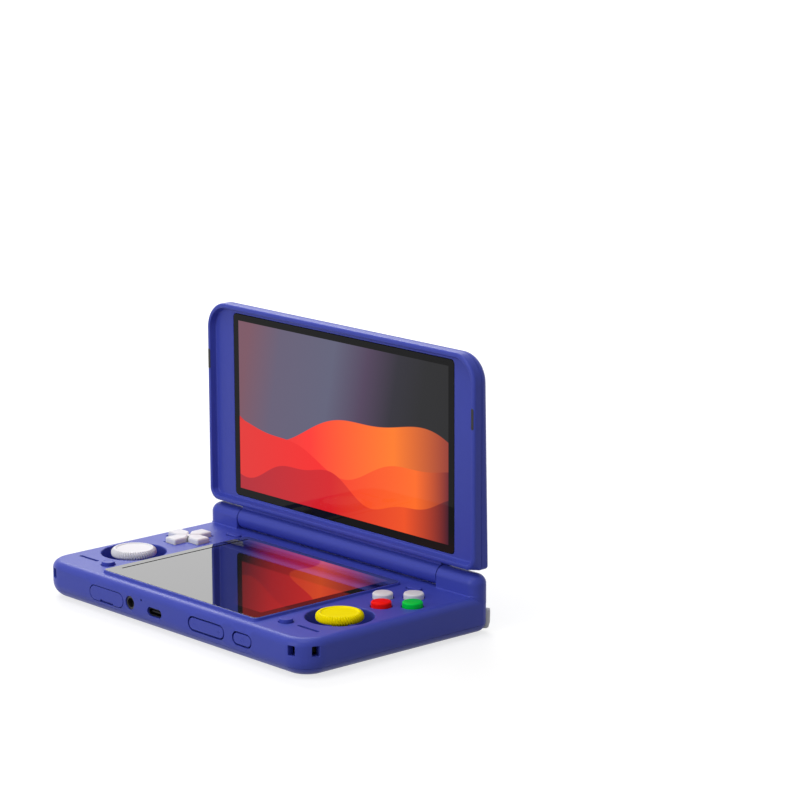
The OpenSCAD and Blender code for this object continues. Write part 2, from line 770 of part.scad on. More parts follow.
// Barrel between the knuckles, with a tenon that the lid is fastened to
module hinge_barrel() color(shell_colour) difference() {
  union() {
    between_knuckles(barrel_gap) union() {
      translate([hinge_y, hinge_z]) circle(barrel_r, $fn = 96);
      // Neck up to the lid, set back from the front of the barrel
      translate([barrel_neck_y, hinge_z])
        square([lid_back_y - barrel_neck_y, lid_low_z - 0.05 - hinge_z]);
    }
    translate([-59, frame_back_y + 0.5, lid_low_z - 1]) cube([118, 2, 6]);
  }
  for (x = [-left_knuckle_x, right_knuckle_x - 13]) translate([x, hinge_y, hinge_z])
    rotate([0, 90, 0]) cylinder(h = 13, r = 1.8, $fn = 48);
}

module rubber_feet() color(dark_grey) for (s = [-1, 1], p = foot_spots)
  translate([s * p[0], p[1], 0]) linear_extrude(1.1) capsule(16, 6);

module base_screws() color(metal) for (s = [-1, 1], p = screw_spots)
  translate([s * p[0], p[1], 0]) {
    translate([0, 0, 0.9]) difference() {
      cylinder(h = 1.2, r = 1.9, $fn = 32);
      translate([0, 0, -0.2]) cylinder(h = 0.7, r = 0.9, $fn = 6);
    }
    translate([0, 0, 2]) cylinder(h = 8.5, r = 0.95, $fn = 32);
  }

// Outer form of the lid, standing upright
module lid_form() rotate([90, 0, 0]) hull() {
  for (s = [-1, 1]) {
    translate([s * (lid_half - lid_corner_r), lid_top_z - lid_corner_r, 0])
      puck(lid_corner_r, lid_back_r, 1.2, -lid_back_y, -lid_front_y);
    translate([s * (lid_half - lid_low_corner_r), lid_low_z + lid_low_corner_r, 0])
      puck(lid_low_corner_r, lid_low_back_r, 1.2, -lid_back_y, -lid_front_y);
  }
}

// Rectangle with the lid's large upper corners and small lower ones, inset by i
module lid_outline(i) {
  hull() for (s = [-1, 1]) {
    translate([s * (lid_half - lid_corner_r), lid_top_z - lid_corner_r])
      circle(lid_corner_r - i, $fn = 48);
    translate([s * (lid_half - lid_low_corner_r), lid_low_z + lid_low_corner_r])
      circle(max(0.6, lid_low_corner_r - i), $fn = 48);
  }
}

// Soft stops in the rim, which meet the deck when the lid is shut
module bumper_blocks() {
  for (s = [-1, 1])
    through_front(s * 87.45, bumper_z, lid_front_y - 0.1, 2.7) rotate(90) capsule(9.5, 2.5);
}

// Frame round the upper display, with the raised rim that meets the deck when shut
module lid_front_frame() color(shell_colour) difference() {
  intersection() {
    lid_form();
    translate([-100, 0, 0]) cube([200, frame_back_y, 200]);
  }
  hull() {
    translate([0, lid_front_y, 0]) rotate([90, 0, 0]) linear_extrude(0.2) lid_outline(rim_w);
    translate([0, lid_face_y, 0]) rotate([90, 0, 0]) linear_extrude(0.1) lid_outline(rim_w + 1.1);
  }
  through_front(0, 0, lid_face_y - 1, 1.85) rounded(-upper_glass_x - 0.15, upper_glass_x + 0.15,
    upper_glass_z0 - 0.15, upper_glass_z1 + 0.15, 2.1);
  through_front(0, 0, lid_face_y, 5) rounded(-71.5, 71.5, 34.5, 116.4, 1);
  bumper_blocks();
}

module lid_bumpers() color(black) bumper_blocks();

module lid_back_cover() color(shell_colour) difference() {
  intersection() {
    lid_form();
    translate([-100, frame_back_y + seam, 0]) cube([200, 20, 200]);
  }
  translate([0, lid_back_y - 1.6, 0]) rotate([90, 0, 0]) linear_extrude(5) lid_outline(2.4);
  // Notch for the barrel's tenon
  translate([-59.3, frame_back_y - 1, lid_low_z - 1]) cube([118.6, 3.8, 6]);
}

module upper_glass() color(black) through_front(0, 0, lid_face_y, glass_t)
  rounded(-upper_glass_x, upper_glass_x, upper_glass_z0, upper_glass_z1, 2);

module upper_panel() color(dark_grey) through_front(0, 0, lid_face_y + glass_t + 0.05, 2.2)
  rounded(-71.3, 71.3, 34.7, 116.2, 0.9);

base_top_shell();
base_bottom_cover();
lower_glass();
lower_panel();
main_board();
battery();
fan_housing();
fan_rotor();
heat_sink();
heat_pipe();
color(black) mirror([1, 0, 0]) stick_module();  // left_stick_module
color(black) stick_module();  // right_stick_module
color(metal) mirror([1, 0, 0]) stick_rocker();  // left_stick_rocker
color(metal) stick_rocker();  // right_stick_rocker
color(dark_grey) mirror([1, 0, 0]) stick_pivot();  // left_stick_pivot
color(dark_grey) stick_pivot();  // right_stick_pivot
color(metal) mirror([1, 0, 0]) stick_stem();  // left_stick_stem
color(metal) stick_stem();  // right_stick_stem
color(light_grey) translate([-stick_x, stick_y, 0]) stick_cap();  // left_stick_cap
color([1, 0.87, 0.02]) translate([stick_x, stick_y, 0]) stick_cap();  // right_stick_cap
color(board_green) mirror([1, 0, 0]) button_board();  // left_button_board
color(board_green) button_board();  // right_button_board
color(dark_grey) both_sides() dome_mat();  // dome_mats
dpad();
dpad_pivot();
color(light_grey) face_button(90);  // north_button
color([0.86, 0.06, 0.08]) face_button(270);  // south_button
color([0.05, 0.62, 0.22]) face_button(0);  // east_button
color(light_grey) face_button(180);  // west_button
color(shell_colour) mirror([1, 0, 0]) small_button();  // select_button
color(shell_colour) small_button();  // start_button
color(shell_colour) mirror([1, 0, 0]) menu_button();  // left_menu_button
color(shell_colour) menu_button();  // right_menu_button
color(light_grey) mirror([1, 0, 0]) shoulder();  // left_shoulder
color(light_grey) shoulder();  // right_shoulder
color(light_grey) mirror([1, 0, 0]) trigger();  // left_trigger
color(light_grey) trigger();  // right_trigger
shoulder_pins();
color(black) mirror([1, 0, 0]) speaker();  // left_speaker
color(black) speaker();  // right_speaker
usb_socket();
headphone_jack();
card_socket();
card_cover();
volume_rocker();
power_button();
side_switch_board();
color(metal) mirror([1, 0, 0]) hinge_cartridge(left_knuckle_x);  // left_hinge_cartridge
color(metal) hinge_cartridge(right_knuckle_x);  // right_hinge_cartridge
color(metal) mirror([1, 0, 0]) hinge_shaft(left_knuckle_x);  // left_hinge_shaft
color(metal) hinge_shaft(right_knuckle_x);  // right_hinge_shaft
hinge_strip();
hinge_barrel();
rubber_feet();
base_screws();
lid_front_frame();
lid_back_cover();
upper_glass();
upper_panel();
lid_bumpers();
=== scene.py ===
"""Clamshell handheld game console with two displays: the looks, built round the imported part.

Lengths below are in millimetres unless they say otherwise, in the part's own frame: +X to the
player's right, +Y from the front edge towards the hinge, +Z up, and the origin on the table under
the middle of the footprint. Each case is worked out as a surface of two parameters: how far round
the outline a point lies, and how high up the wall.
"""

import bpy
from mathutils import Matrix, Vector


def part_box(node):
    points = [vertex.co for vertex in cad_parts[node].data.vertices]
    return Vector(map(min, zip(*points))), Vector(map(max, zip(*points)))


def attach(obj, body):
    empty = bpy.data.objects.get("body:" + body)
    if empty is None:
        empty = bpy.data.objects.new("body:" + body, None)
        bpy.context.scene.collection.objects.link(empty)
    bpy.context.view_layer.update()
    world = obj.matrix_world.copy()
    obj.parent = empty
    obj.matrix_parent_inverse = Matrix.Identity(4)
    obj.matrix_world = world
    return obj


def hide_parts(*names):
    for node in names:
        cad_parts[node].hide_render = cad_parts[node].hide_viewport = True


bl_info = {
    "name": "Clamshell handheld game console",
    "version": (1, 0, 0),
    "blender": (4, 5, 0),
    "location": "3D View > Sidebar > Console",
    "description": "Builds the cases, keys, displays and finishes of a clamshell game console",
    "category": "Add Mesh",
}

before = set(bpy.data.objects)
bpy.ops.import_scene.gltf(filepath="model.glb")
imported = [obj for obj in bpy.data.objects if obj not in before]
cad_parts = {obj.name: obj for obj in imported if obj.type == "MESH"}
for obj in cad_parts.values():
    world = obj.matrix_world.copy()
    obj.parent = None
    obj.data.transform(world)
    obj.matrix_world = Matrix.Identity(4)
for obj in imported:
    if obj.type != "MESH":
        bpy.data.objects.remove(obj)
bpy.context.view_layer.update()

import math

import bmesh
import bpy
import numpy as np
from bpy.props import FloatProperty, FloatVectorProperty, IntProperty, PointerProperty
from mathutils import Matrix, Vector
from mathutils.geometry import delaunay_2d_cdt

MM = 0.001
QUARTER = math.pi / 2


def node_box(node):
    """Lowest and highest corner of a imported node, in millimetres."""
    low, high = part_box(node)
    return np.array(low) / MM, np.array(high) / MM


# Driving sizes, from the part
BASE_LOW, BASE_HIGH = node_box("base_top_shell")
COVER_LOW = node_box("base_bottom_cover")[0]
GLASS_LOW, GLASS_HIGH = node_box("lower_glass")
LID_LOW, LID_HIGH = node_box("lid_front_frame")
BACK_HIGH = node_box("lid_back_cover")[1]
UPPER_LOW, UPPER_HIGH = node_box("upper_glass")
BARREL_LOW, BARREL_HIGH = node_box("hinge_barrel")

HALF_W = BASE_HIGH[0]
FRONT_Y = BASE_LOW[1]
REAR_Y = BASE_HIGH[1]
UNDER_Z = COVER_LOW[2]
PART_Z = BASE_LOW[2]
PLATEAU_H = 0.7
DECK_Z = GLASS_LOW[2] - PLATEAU_H
WALL = 2.6
DECK_T = 1.8
FRONT_R = 12.4
REAR_R = 5.2
FRONT_EDGE_R = 7.0
REAR_EDGE_R = 5.0
TOP_EDGE_R = 3.7
TOP_EDGE_Z = DECK_Z - TOP_EDGE_R

HINGE_Y = 47.0
HINGE_Z = 22.1
KNUCKLE_R = 5.0
KNUCKLE_GAP = 0.4
KNUCKLE_RIGHT = BARREL_HIGH[0] + KNUCKLE_GAP
KNUCKLE_LEFT = KNUCKLE_GAP - BARREL_LOW[0]
KNUCKLE_FLAT = 0.92
SEAM = 0.12
LEDGE_Y = 46.3
LEDGE_Z = 13.9

STICK_X = 70.3
STICK_Y = -17.2
PAD_X = 71.0
PAD_Y = 15.0
CLUSTER_R = 9.4
FACE_KEY_R = 4.45
ROUND_KEY = (61.0, -38.7)
ROUND_KEY_R = 2.95
OBLONG_KEY = (61.1, 33.8)
OBLONG_SIZE = (8.1, 3.6)
SPEAKER_SLOT = (75.1, -38.7)
KEY_FOOT_Z = 13.7
GAP = 0.35

# Middles, in (x, z), of what the front wall holds
CARD_SPOT = (-42.6, 9.3)
HEADPHONE_SPOT = (-25.8, 9.9)
MICROPHONE_SPOT = (-17.8, 12.7)
DATA_SPOT = (-8.7, 9.0)
VOLUME_SPOT = (26.5, 9.9)
POWER_SPOT = (50.2, 9.9)
STRAP_ANGLES = (-73, -23.5)

# Rear wall and underside
SHOULDER_INNER_X = 69.7
SHOULDER_GAP = 0.4
TRIGGER_X = (55.2, 63.8)
TRIGGER_GAP = 0.35
SLOT_COUNT = 18
SLOT_PITCH = 4.53
SLOT_W = 2.6
SLOT_TOP = 5.0
FOOT_SPOTS = ((64.0, -38.5), (64.0, 34.0))
SCREW_SPOTS = ((59.2, -45.6), (58.5, 0.0), (54.0, 38.0))

# Displays: (low, high) of each picture in metres, and the printed line (x0, x1, y0, y1) in mm
LOWER_PICTURE_X = (-0.0474, 0.0474)
LOWER_PICTURE_Y = (-0.0410, 0.0310)
UPPER_PICTURE_X = (-0.0701, 0.0701)
UPPER_PICTURE_Z = (0.0363, 0.1152)
MIRRORED_GLOW = 0.4
PRINTED_LINE = (-48.25, -47.35, -41.0, 31.0)

# Glow of the white floor at its middle, as a part of full white
FLOOR_LIFT = 0.72


# Plane outlines
def arc(cx, cy, r, a0, a1, n=12):
    """Points on a circle about (cx, cy) from angle a0 to a1, in degrees."""
    a = np.radians(np.linspace(a0, a1, n + 1))
    return np.stack([cx + r * np.cos(a), cy + r * np.sin(a)], 1)


def circle(cx, cy, r, n=64):
    """Closed circle, its points anticlockwise."""
    return arc(cx, cy, r, 0, 360, n)[:-1]


def rounded_rect(x0, x1, y0, y1, r, r_high=None, n=12):
    """Rectangle with corners of radius r below and r_high above, anticlockwise."""
    top = r if r_high is None else r_high
    return np.concatenate(
        [
            arc(x1 - r, y0 + r, r, -90, 0, n),
            arc(x1 - top, y1 - top, top, 0, 90, n),
            arc(x0 + top, y1 - top, top, 90, 180, n),
            arc(x0 + r, y0 + r, r, 180, 270, n),
        ]
    )


def pill(cx, cy, length, width, n=20):
    """Outline with round ends, its length along the first axis."""
    half = (length - width) / 2
    return np.concatenate(
        [arc(cx + half, cy, width / 2, -90, 90, n), arc(cx - half, cy, width / 2, 90, 270, n)]
    )


def grown(loop, g):
    """The loop moved outwards by g: each corner moves along the mean of its two edge normals."""
    edge = np.roll(loop, -1, 0) - loop
    edge /= np.maximum(np.linalg.norm(edge, axis=1, keepdims=True), 1e-9)
    normal = np.stack([edge[:, 1], -edge[:, 0]], 1)
    both = normal + np.roll(normal, 1, 0)
    both /= np.maximum(np.linalg.norm(both, axis=1, keepdims=True), 1e-9)
    stretch = np.clip((both * normal).sum(1, keepdims=True), 0.5, 1)
    return loop + both * g / stretch


def inside(loop, points):
    """Even-odd test: whether a ray from each point crosses the loop an odd number of times."""
    a, b = loop, np.roll(loop, -1, 0)
    x, y = points[:, :1], points[:, 1:]
    spans = (a[:, 1] > y) != (b[:, 1] > y)
    rise = np.where(np.abs(b[:, 1] - a[:, 1]) < 1e-12, 1e-12, b[:, 1] - a[:, 1])
    cross = a[:, 0] + (y - a[:, 1]) * (b[:, 0] - a[:, 0]) / rise
    return ((spans & (x < cross)).sum(1) % 2) == 1


def fill(outer, holes=(), inner=None):
    """Triangles over an outline except its holes, which may cross it. Inner points refine it."""
    loops = [outer, *holes]
    points = np.concatenate(loops)
    edges, start = [], 0
    for loop in loops:
        index = np.arange(len(loop))
        edges.append(np.stack([index, np.roll(index, -1)], 1) + start)
        start += len(loop)
    if inner is not None and len(inner):
        points = np.concatenate([points, inner])
    result = delaunay_2d_cdt(
        [Vector(p) for p in points], np.concatenate(edges).tolist(), [], 0, 1e-5
    )
    flat = np.array([tuple(p) for p in result[0]])
    tris = np.array(result[2])
    middle = flat[tris].mean(1)
    keep = inside(outer, middle)
    for hole in holes:
        keep &= ~inside(hole, middle)
    tris = tris[keep]
    a, b, c = flat[tris[:, 0]], flat[tris[:, 1]], flat[tris[:, 2]]
    turn = (b[:, 0] - a[:, 0]) * (c[:, 1] - a[:, 1]) - (b[:, 1] - a[:, 1]) * (c[:, 0] - a[:, 0])
    tris[turn < 0] = tris[turn < 0][:, ::-1]
    tris = tris[np.abs(turn) > 1e-9]
    used, index = np.unique(tris, return_inverse=True)
    return flat[used], index.reshape(tris.shape)


# Meshes
class Skin:
    """Collects patches of one piece: vertex arrays with their faces, in millimetres."""

    def __init__(self):
        self.points, self.faces, self.count = [], [], 0

    def patch(self, points, faces):
        """Adds faces over new points, counted from the first of them."""
        self.points.append(np.asarray(points, float))
        self.faces += (np.asarray(faces) + self.count).tolist()
        self.count += len(points)
        return self

    def loft(self, rings, closed=True, flip=False):
        """Quads between successive rings of equal length."""
        rings = np.asarray(rings, float)
        rows, columns = rings.shape[:2]
        last = columns if closed else columns - 1
        i, j = np.meshgrid(np.arange(rows - 1), np.arange(last), indexing="ij")
        k = (j + 1) % columns
        quads = np.stack(
            [i * columns + j, i * columns + k, (i + 1) * columns + k, (i + 1) * columns + j], -1
        ).reshape(-1, 4)
        return self.patch(rings.reshape(-1, 3), quads[:, ::-1] if flip else quads)

    def cover(self, outer, place, holes=(), inner=None, flip=False):
        """Fills a flat outline and puts its points in space with place(points)."""
        flat, tris = fill(outer, holes, inner)
        return self.patch(place(flat), tris[:, ::-1] if flip else tris)

    def mirrored(self):
        """The same patches with X turned round, facing outwards again."""
        twin = Skin()
        twin.points = [p * (-1, 1, 1) for p in self.points]
        twin.faces = [face[::-1] for face in self.faces]
        twin.count = self.count
        return twin

    def add(self, other):
        """Adds the patches of another skin."""
        self.points += other.points
        self.faces += [[i + self.count for i in face] for face in other.faces]
        self.count += other.count
        return self

    def object(self, name, material, body, nodes=(), slot=None, sharp=32, turn_out=False):
        """Makes the piece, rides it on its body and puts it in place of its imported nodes."""
        mesh = bpy.data.meshes.new(name)
        mesh.from_pydata((np.concatenate(self.points) * MM).tolist(), [], self.faces)
        work = bmesh.new()
        work.from_mesh(mesh)
        bmesh.ops.remove_doubles(work, verts=work.verts, dist=2e-6)
        bmesh.ops.dissolve_degenerate(work, edges=work.edges, dist=1e-7)
        if turn_out:
            bmesh.ops.recalc_face_normals(work, faces=work.faces)
        work.to_mesh(mesh)
        work.free()
        mesh.shade_smooth()
        mesh.set_sharp_from_angle(angle=math.radians(sharp))
        mesh.materials.append(material)
        piece = bpy.data.objects.new(name, mesh)
        bpy.context.scene.collection.objects.link(piece)
        weighted = piece.modifiers.new("Weighted normals", "WEIGHTED_NORMAL")
        weighted.keep_sharp = True
        weighted.weight = 80
        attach(piece, body)
        if nodes:
            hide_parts(*nodes)
        return piece


def lathe(profile, centre, axis="z", n=96):
    """Rings of a profile (radius, height) turned about an axis through centre."""
    t = np.linspace(0, 2 * math.pi, n, endpoint=False)
    profile = np.asarray(profile, float)
    r, h = profile[:, :1], profile[:, 1:]
    a, b, c = r * np.cos(t), r * np.sin(t), h + 0 * t
    order = {"z": (a, b, c), "x": (c, a, b), "y": (a, -c, b)}[axis]
    return np.stack(order, -1) + np.asarray(centre, float)


# Base wall as a surface
class BaseWall:
    """The wall round the base as a surface S(s, z, g).

    s runs anticlockwise round the outline from the middle of the right side, z is the height and
    g how far the surface is grown outwards. The plan is a rounded rectangle. The wall stands
    upright between an arc of TOP_EDGE_R at the deck and an arc at the underside, whose radius
    goes evenly from the front one to the rear one along the sides.
    """

    def __init__(self):
        right, rear = HALF_W, REAR_Y
        corners = [
            (right - REAR_R, rear - REAR_R, REAR_R, 40),
            (-right + REAR_R, rear - REAR_R, REAR_R, 40),
            (-right + FRONT_R, FRONT_Y + FRONT_R, FRONT_R, 60),
            (right - FRONT_R, FRONT_Y + FRONT_R, FRONT_R, 60),
        ]
        loop, turn, self.spans, first = [[[right, 0.0]]], [[0]], [], 1
        for i, (x, y, r, n) in enumerate(corners):
            loop.append(arc(x, y, r, 90 * i, 90 * i + 90, n))
            turn.append(np.linspace(90 * i, 90 * i + 90, n + 1))
            self.spans.append((first, first + n))
            first += n + 1
        self.loop = np.concatenate([*loop, [[right, 0.0]]])
        self.turn = np.radians(np.concatenate([*turn, [360]]))
        steps = np.linalg.norm(np.diff(self.loop, axis=0), axis=1)
        self.s = np.concatenate([[0], np.cumsum(steps)])
        self.length = self.s[-1]
        self.rear_start = self.s[self.spans[0][1]]
        self.front_end = self.s[self.spans[3][0]]

    def plan(self, s):
        """Point of the outline and outward normal at s."""
        s = np.mod(s, self.length)
        x = np.interp(s, self.s, self.loop[:, 0])
        y = np.interp(s, self.s, self.loop[:, 1])
        a = np.interp(s, self.s, self.turn)
        return np.stack([x, y], -1), np.stack([np.cos(a), np.sin(a)], -1)

    def edge_r(self, y):
        """Radius of the lower edge: the rear one at the rear corners, the front one in front."""
        return np.interp(
            y, [FRONT_Y + FRONT_R, REAR_Y - REAR_R], [FRONT_EDGE_R, REAR_EDGE_R]
        )

    def at(self, s, z, g=0.0):
        """Point of the wall at s and height z, grown outwards by g."""
        p, n = self.plan(s)
        low_r = self.edge_r(p[..., 1])
        drop = np.clip(UNDER_Z + low_r - z, 0, None)
        rise = np.clip(z - TOP_EDGE_Z, 0, None)
        low = np.sqrt(np.clip((low_r + g) ** 2 - drop**2, 0, None)) - low_r
        high = np.sqrt(np.clip((TOP_EDGE_R + g) ** 2 - rise**2, 0, None)) - TOP_EDGE_R
        out = np.where(rise > 0, high, low)[..., None]
        return np.concatenate([p + n * out, np.broadcast_to(z, s.shape)[..., None]], -1)

    def front(self, x):
        """s of the point at x on the front wall."""
        return self.front_end + np.asarray(x, float) - (HALF_W - FRONT_R)

    def rear(self, x):
        """s of the point at x on the rear wall, which runs towards -X."""
        return self.rear_start + (HALF_W - REAR_R) - np.asarray(x, float)

    def corner(self, degrees):
        """s of the point at a plan angle on the front right corner, from -90 to 0 degrees."""
        return self.front_end + FRONT_R * np.radians(np.asarray(degrees) + 90.0)


def height_to_v(z):
    """Length along the wall's profile: the height, then the arc over the top edge."""
    a = np.arcsin(np.clip((np.asarray(z) - TOP_EDGE_Z) / TOP_EDGE_R, 0, 1))
    return np.where(z > TOP_EDGE_Z, TOP_EDGE_Z + TOP_EDGE_R * a, z)


def v_to_height(v):
    """The height at a length v along the profile: height_to_v turned round."""
    a = np.clip((v - TOP_EDGE_Z) / TOP_EDGE_R, 0, QUARTER)
    return np.where(v > TOP_EDGE_Z, TOP_EDGE_Z + TOP_EDGE_R * np.sin(a), v)


BASE = BaseWall()


def base_columns():
    """Values of s that follow the corners closely and the straight walls widely."""
    s = [np.linspace(0, BASE.length, 90)]
    for (first, last), count in zip(BASE.spans, (14, 14, 26, 26)):
        s.append(np.linspace(BASE.s[first], BASE.s[last], count))
    return np.unique(np.round(np.concatenate(s), 3))


def at_row(s, row):
    """Points (s, row), all in one row."""
    return np.column_stack([s, np.full(len(s), row)])


def unrolled(columns, rows):
    """Rim of the wall laid flat in (s, row), anticlockwise, and the grid points inside it."""
    rows_between = rows[1:-1]
    rim = np.concatenate(
        [
            at_row(columns, rows[0]),
            np.column_stack([np.full(len(rows_between), BASE.length), rows_between]),
            at_row(columns[::-1], rows[-1]),
            np.column_stack([np.zeros(len(rows_between)), rows_between[::-1]]),
        ]
    )
    s, row = np.meshgrid(columns, rows_between)
    return rim, np.stack([s.ravel(), row.ravel()], 1)


def opposite(loop):
    """The same loop, in (s, z), at the other end of the rear wall."""
    return np.column_stack([2 * BASE.rear(0) - loop[:, 0], loop[:, 1]])[::-1]


def wall_opening(skin, loop, depth, edge=0.25):
    """Rounds and lines an opening in the wall whose loop is in (s, z). Returns the loop to cut."""
    rings = []
    for t in np.radians(np.linspace(0, 90, 5)):
        ring = grown(loop, edge * (1 - math.sin(t)))
        rings.append(BASE.at(ring[:, 0], ring[:, 1], -edge * (1 - math.cos(t))))
    rings.append(BASE.at(loop[:, 0], loop[:, 1], -depth))
    skin.loft(rings, flip=True)
    cut = grown(loop, edge)
    return np.stack([cut[:, 0], height_to_v(cut[:, 1])], 1)


def deck_opening(skin, loop, depth, edge=0.3, z=DECK_Z):
    """Rounds and lines an opening in a level surface. Returns the loop to cut."""
    rings = []
    for t in np.radians(np.linspace(0, 90, 5)):
        ring = grown(loop, edge * (1 - math.sin(t)))
        rings.append(raised(ring, z - edge * (1 - math.cos(t))))
    rings.append(raised(loop, z - depth))
    skin.loft(rings, flip=True)
    return grown(loop, edge)


def raised(p, z):
    """Flat points at height z, which is one number or one for each point."""
    return np.column_stack([p, z + 0 * p[:, 0]])


def level(z):
    """Function that puts flat points at height z."""
    return lambda p: raised(p, z)


def upwards(p):
    """Slab coordinates (a, b, h) as they are: a slab that faces up."""
    return p


def facing_front(p):
    """X = a, Y = -h, Z = b: the slab's top faces the player."""
    return np.column_stack([p[:, 0], -p[:, 2], p[:, 1]])


def facing_back(p):
    """X = -a, Y = h, Z = b: the slab's top faces away from the player."""
    return np.column_stack([-p[:, 0], p[:, 2], p[:, 1]])


def facing_down(p):
    """X = a, Y = -b, Z = -h: the slab's top faces the ground."""
    return np.column_stack([p[:, 0], -p[:, 1], -p[:, 2]])


def along_x(p):
    """X = h, Y = a, Z = b: an outline in Y and Z drawn out along X."""
    return np.column_stack([p[:, 2], p[:, 0], p[:, 1]])


def edge_steps(z0, z1, low, high, n=6):
    """(growth, height) along a slab's edge, g = -r (1 - cos t) and h = z -+ r (1 - sin t)."""
    down = np.radians(np.linspace(-90, 0, n + 1)) if low else [0.0]
    up = np.radians(np.linspace(0, 90, n + 1)) if high else [0.0]
    steps = [(-low * (1 - math.cos(t)), z0 + low * (1 + math.sin(t))) for t in down]
    return steps + [(-high * (1 - math.cos(t)), z1 - high * (1 - math.sin(t))) for t in up]


def slab(outline, steps, place=upwards, closed_below=True):
    """Solid over a flat outline: ring i is the outline grown by g_i at height h_i."""
    skin = Skin()
    rings = [raised(grown(outline, g), h) for g, h in steps]
    skin.loft([place(ring) for ring in rings])
    skin.cover(rings[-1][:, :2], lambda p: place(raised(p, np.max(steps[-1][1]))))
    if closed_below:
        skin.cover(rings[0][:, :2], lambda p: place(raised(p, np.min(steps[0][1]))), flip=True)
    return skin


def lattice(loop, step, clear):
    """Evenly spread points inside the loop, at least clear away from its bounds."""
    low, high = loop.min(0) + clear, loop.max(0) - clear
    x, y = np.meshgrid(np.arange(low[0], high[0], step), np.arange(low[1], high[1], step))
    p = np.stack([x.ravel(), y.ravel()], 1)
    return p[inside(grown(loop, -clear), p)]


def proud_key(loop, proud, edge, depth=0.8):
    """Key that stands proud of the base wall, its loop in (s, z), with a rounded edge.

    Its side starts at the depth behind the wall, drawn in by 0.3 so that it clears the window
    when it is pressed, and has its full outline 0.3 in front of the wall.
    """
    skin = Skin()
    back = grown(loop, -0.3)
    rings = [BASE.at(back[:, 0], back[:, 1], -depth), BASE.at(loop[:, 0], loop[:, 1], 0.3)]
    for t in np.radians(np.linspace(0, 90, 7)):
        ring = grown(loop, -edge * (1 - math.cos(t)))
        rings.append(BASE.at(ring[:, 0], ring[:, 1], proud - edge * (1 - math.sin(t))))
    skin.loft(rings)
    top = grown(loop, -edge)
    spread = lattice(top, 0.8, 0.3)
    skin.cover(top, lambda p: BASE.at(p[:, 0], p[:, 1], proud), (), spread)
    return skin


def lobe(g, n=4):
    """One arm of the direction pad, pointing along +X and grown by g."""
    half, reach, corner = 3.6 + g, 10.9 + g, 0.8
    return np.concatenate(
        [
            [[0.55 - g, -0.12 - g / 2], [4.3 - 0.4 * g, -half]],
            arc(reach - corner, -half + corner, corner, -90, 0, n),
            arc(reach - corner, half - corner, corner, 0, 90, n),
            [[4.3 - 0.4 * g, half], [0.55 - g, 0.12 + g / 2]],
        ]
    )


def turned(loop, degrees):
    """The loop turned anticlockwise about the origin."""
    a = math.radians(degrees)
    return loop @ np.array([[math.cos(a), math.sin(a)], [-math.sin(a), math.cos(a)]])


def face_key_spot(degrees):
    """Middle (x, y) of the face key at an angle round its cluster."""
    a = math.radians(degrees)
    return PAD_X + CLUSTER_R * math.cos(a), PAD_Y + CLUSTER_R * math.sin(a)


def pad_opening():
    """Outline of the hole for the direction pad: four arms with a relief at each outer corner."""
    half, reach, inner = 4.05, 11.35, 4.05
    arm = np.concatenate(
        [
            [[inner, -half], [reach - 0.7, -half]],
            arc(reach - 0.2, -half + 0.2, 0.55, 215, 415, 8),
            arc(reach - 0.2, half - 0.2, 0.55, -55, 145, 8),
            [[reach - 0.7, half]],
        ]
    )
    return np.concatenate([turned(arm, a) for a in (0, 90, 180, 270)])


# Shader effects
def group_io(tree, inputs, outputs):
    for name, kind, value in inputs:
        socket = tree.interface.new_socket(name, in_out="INPUT", socket_type="NodeSocket" + kind)
        socket.default_value = value
    for name, kind in outputs:
        tree.interface.new_socket(name, in_out="OUTPUT", socket_type="NodeSocket" + kind)
    return tree.nodes.new("NodeGroupInput"), tree.nodes.new("NodeGroupOutput")


def maths(tree, kind, a, b=None, c=None, clamp=False):
    """A Math node; arguments are sockets or numbers. Returns its output."""
    node = tree.nodes.new("ShaderNodeMath")
    node.operation = kind
    node.use_clamp = clamp
    for socket, value in zip(node.inputs, (a, b, c)):
        if value is None:
            continue
        if isinstance(value, (int, float)):
            socket.default_value = value
        else:
            tree.links.new(value, socket)
    return node.outputs[0]


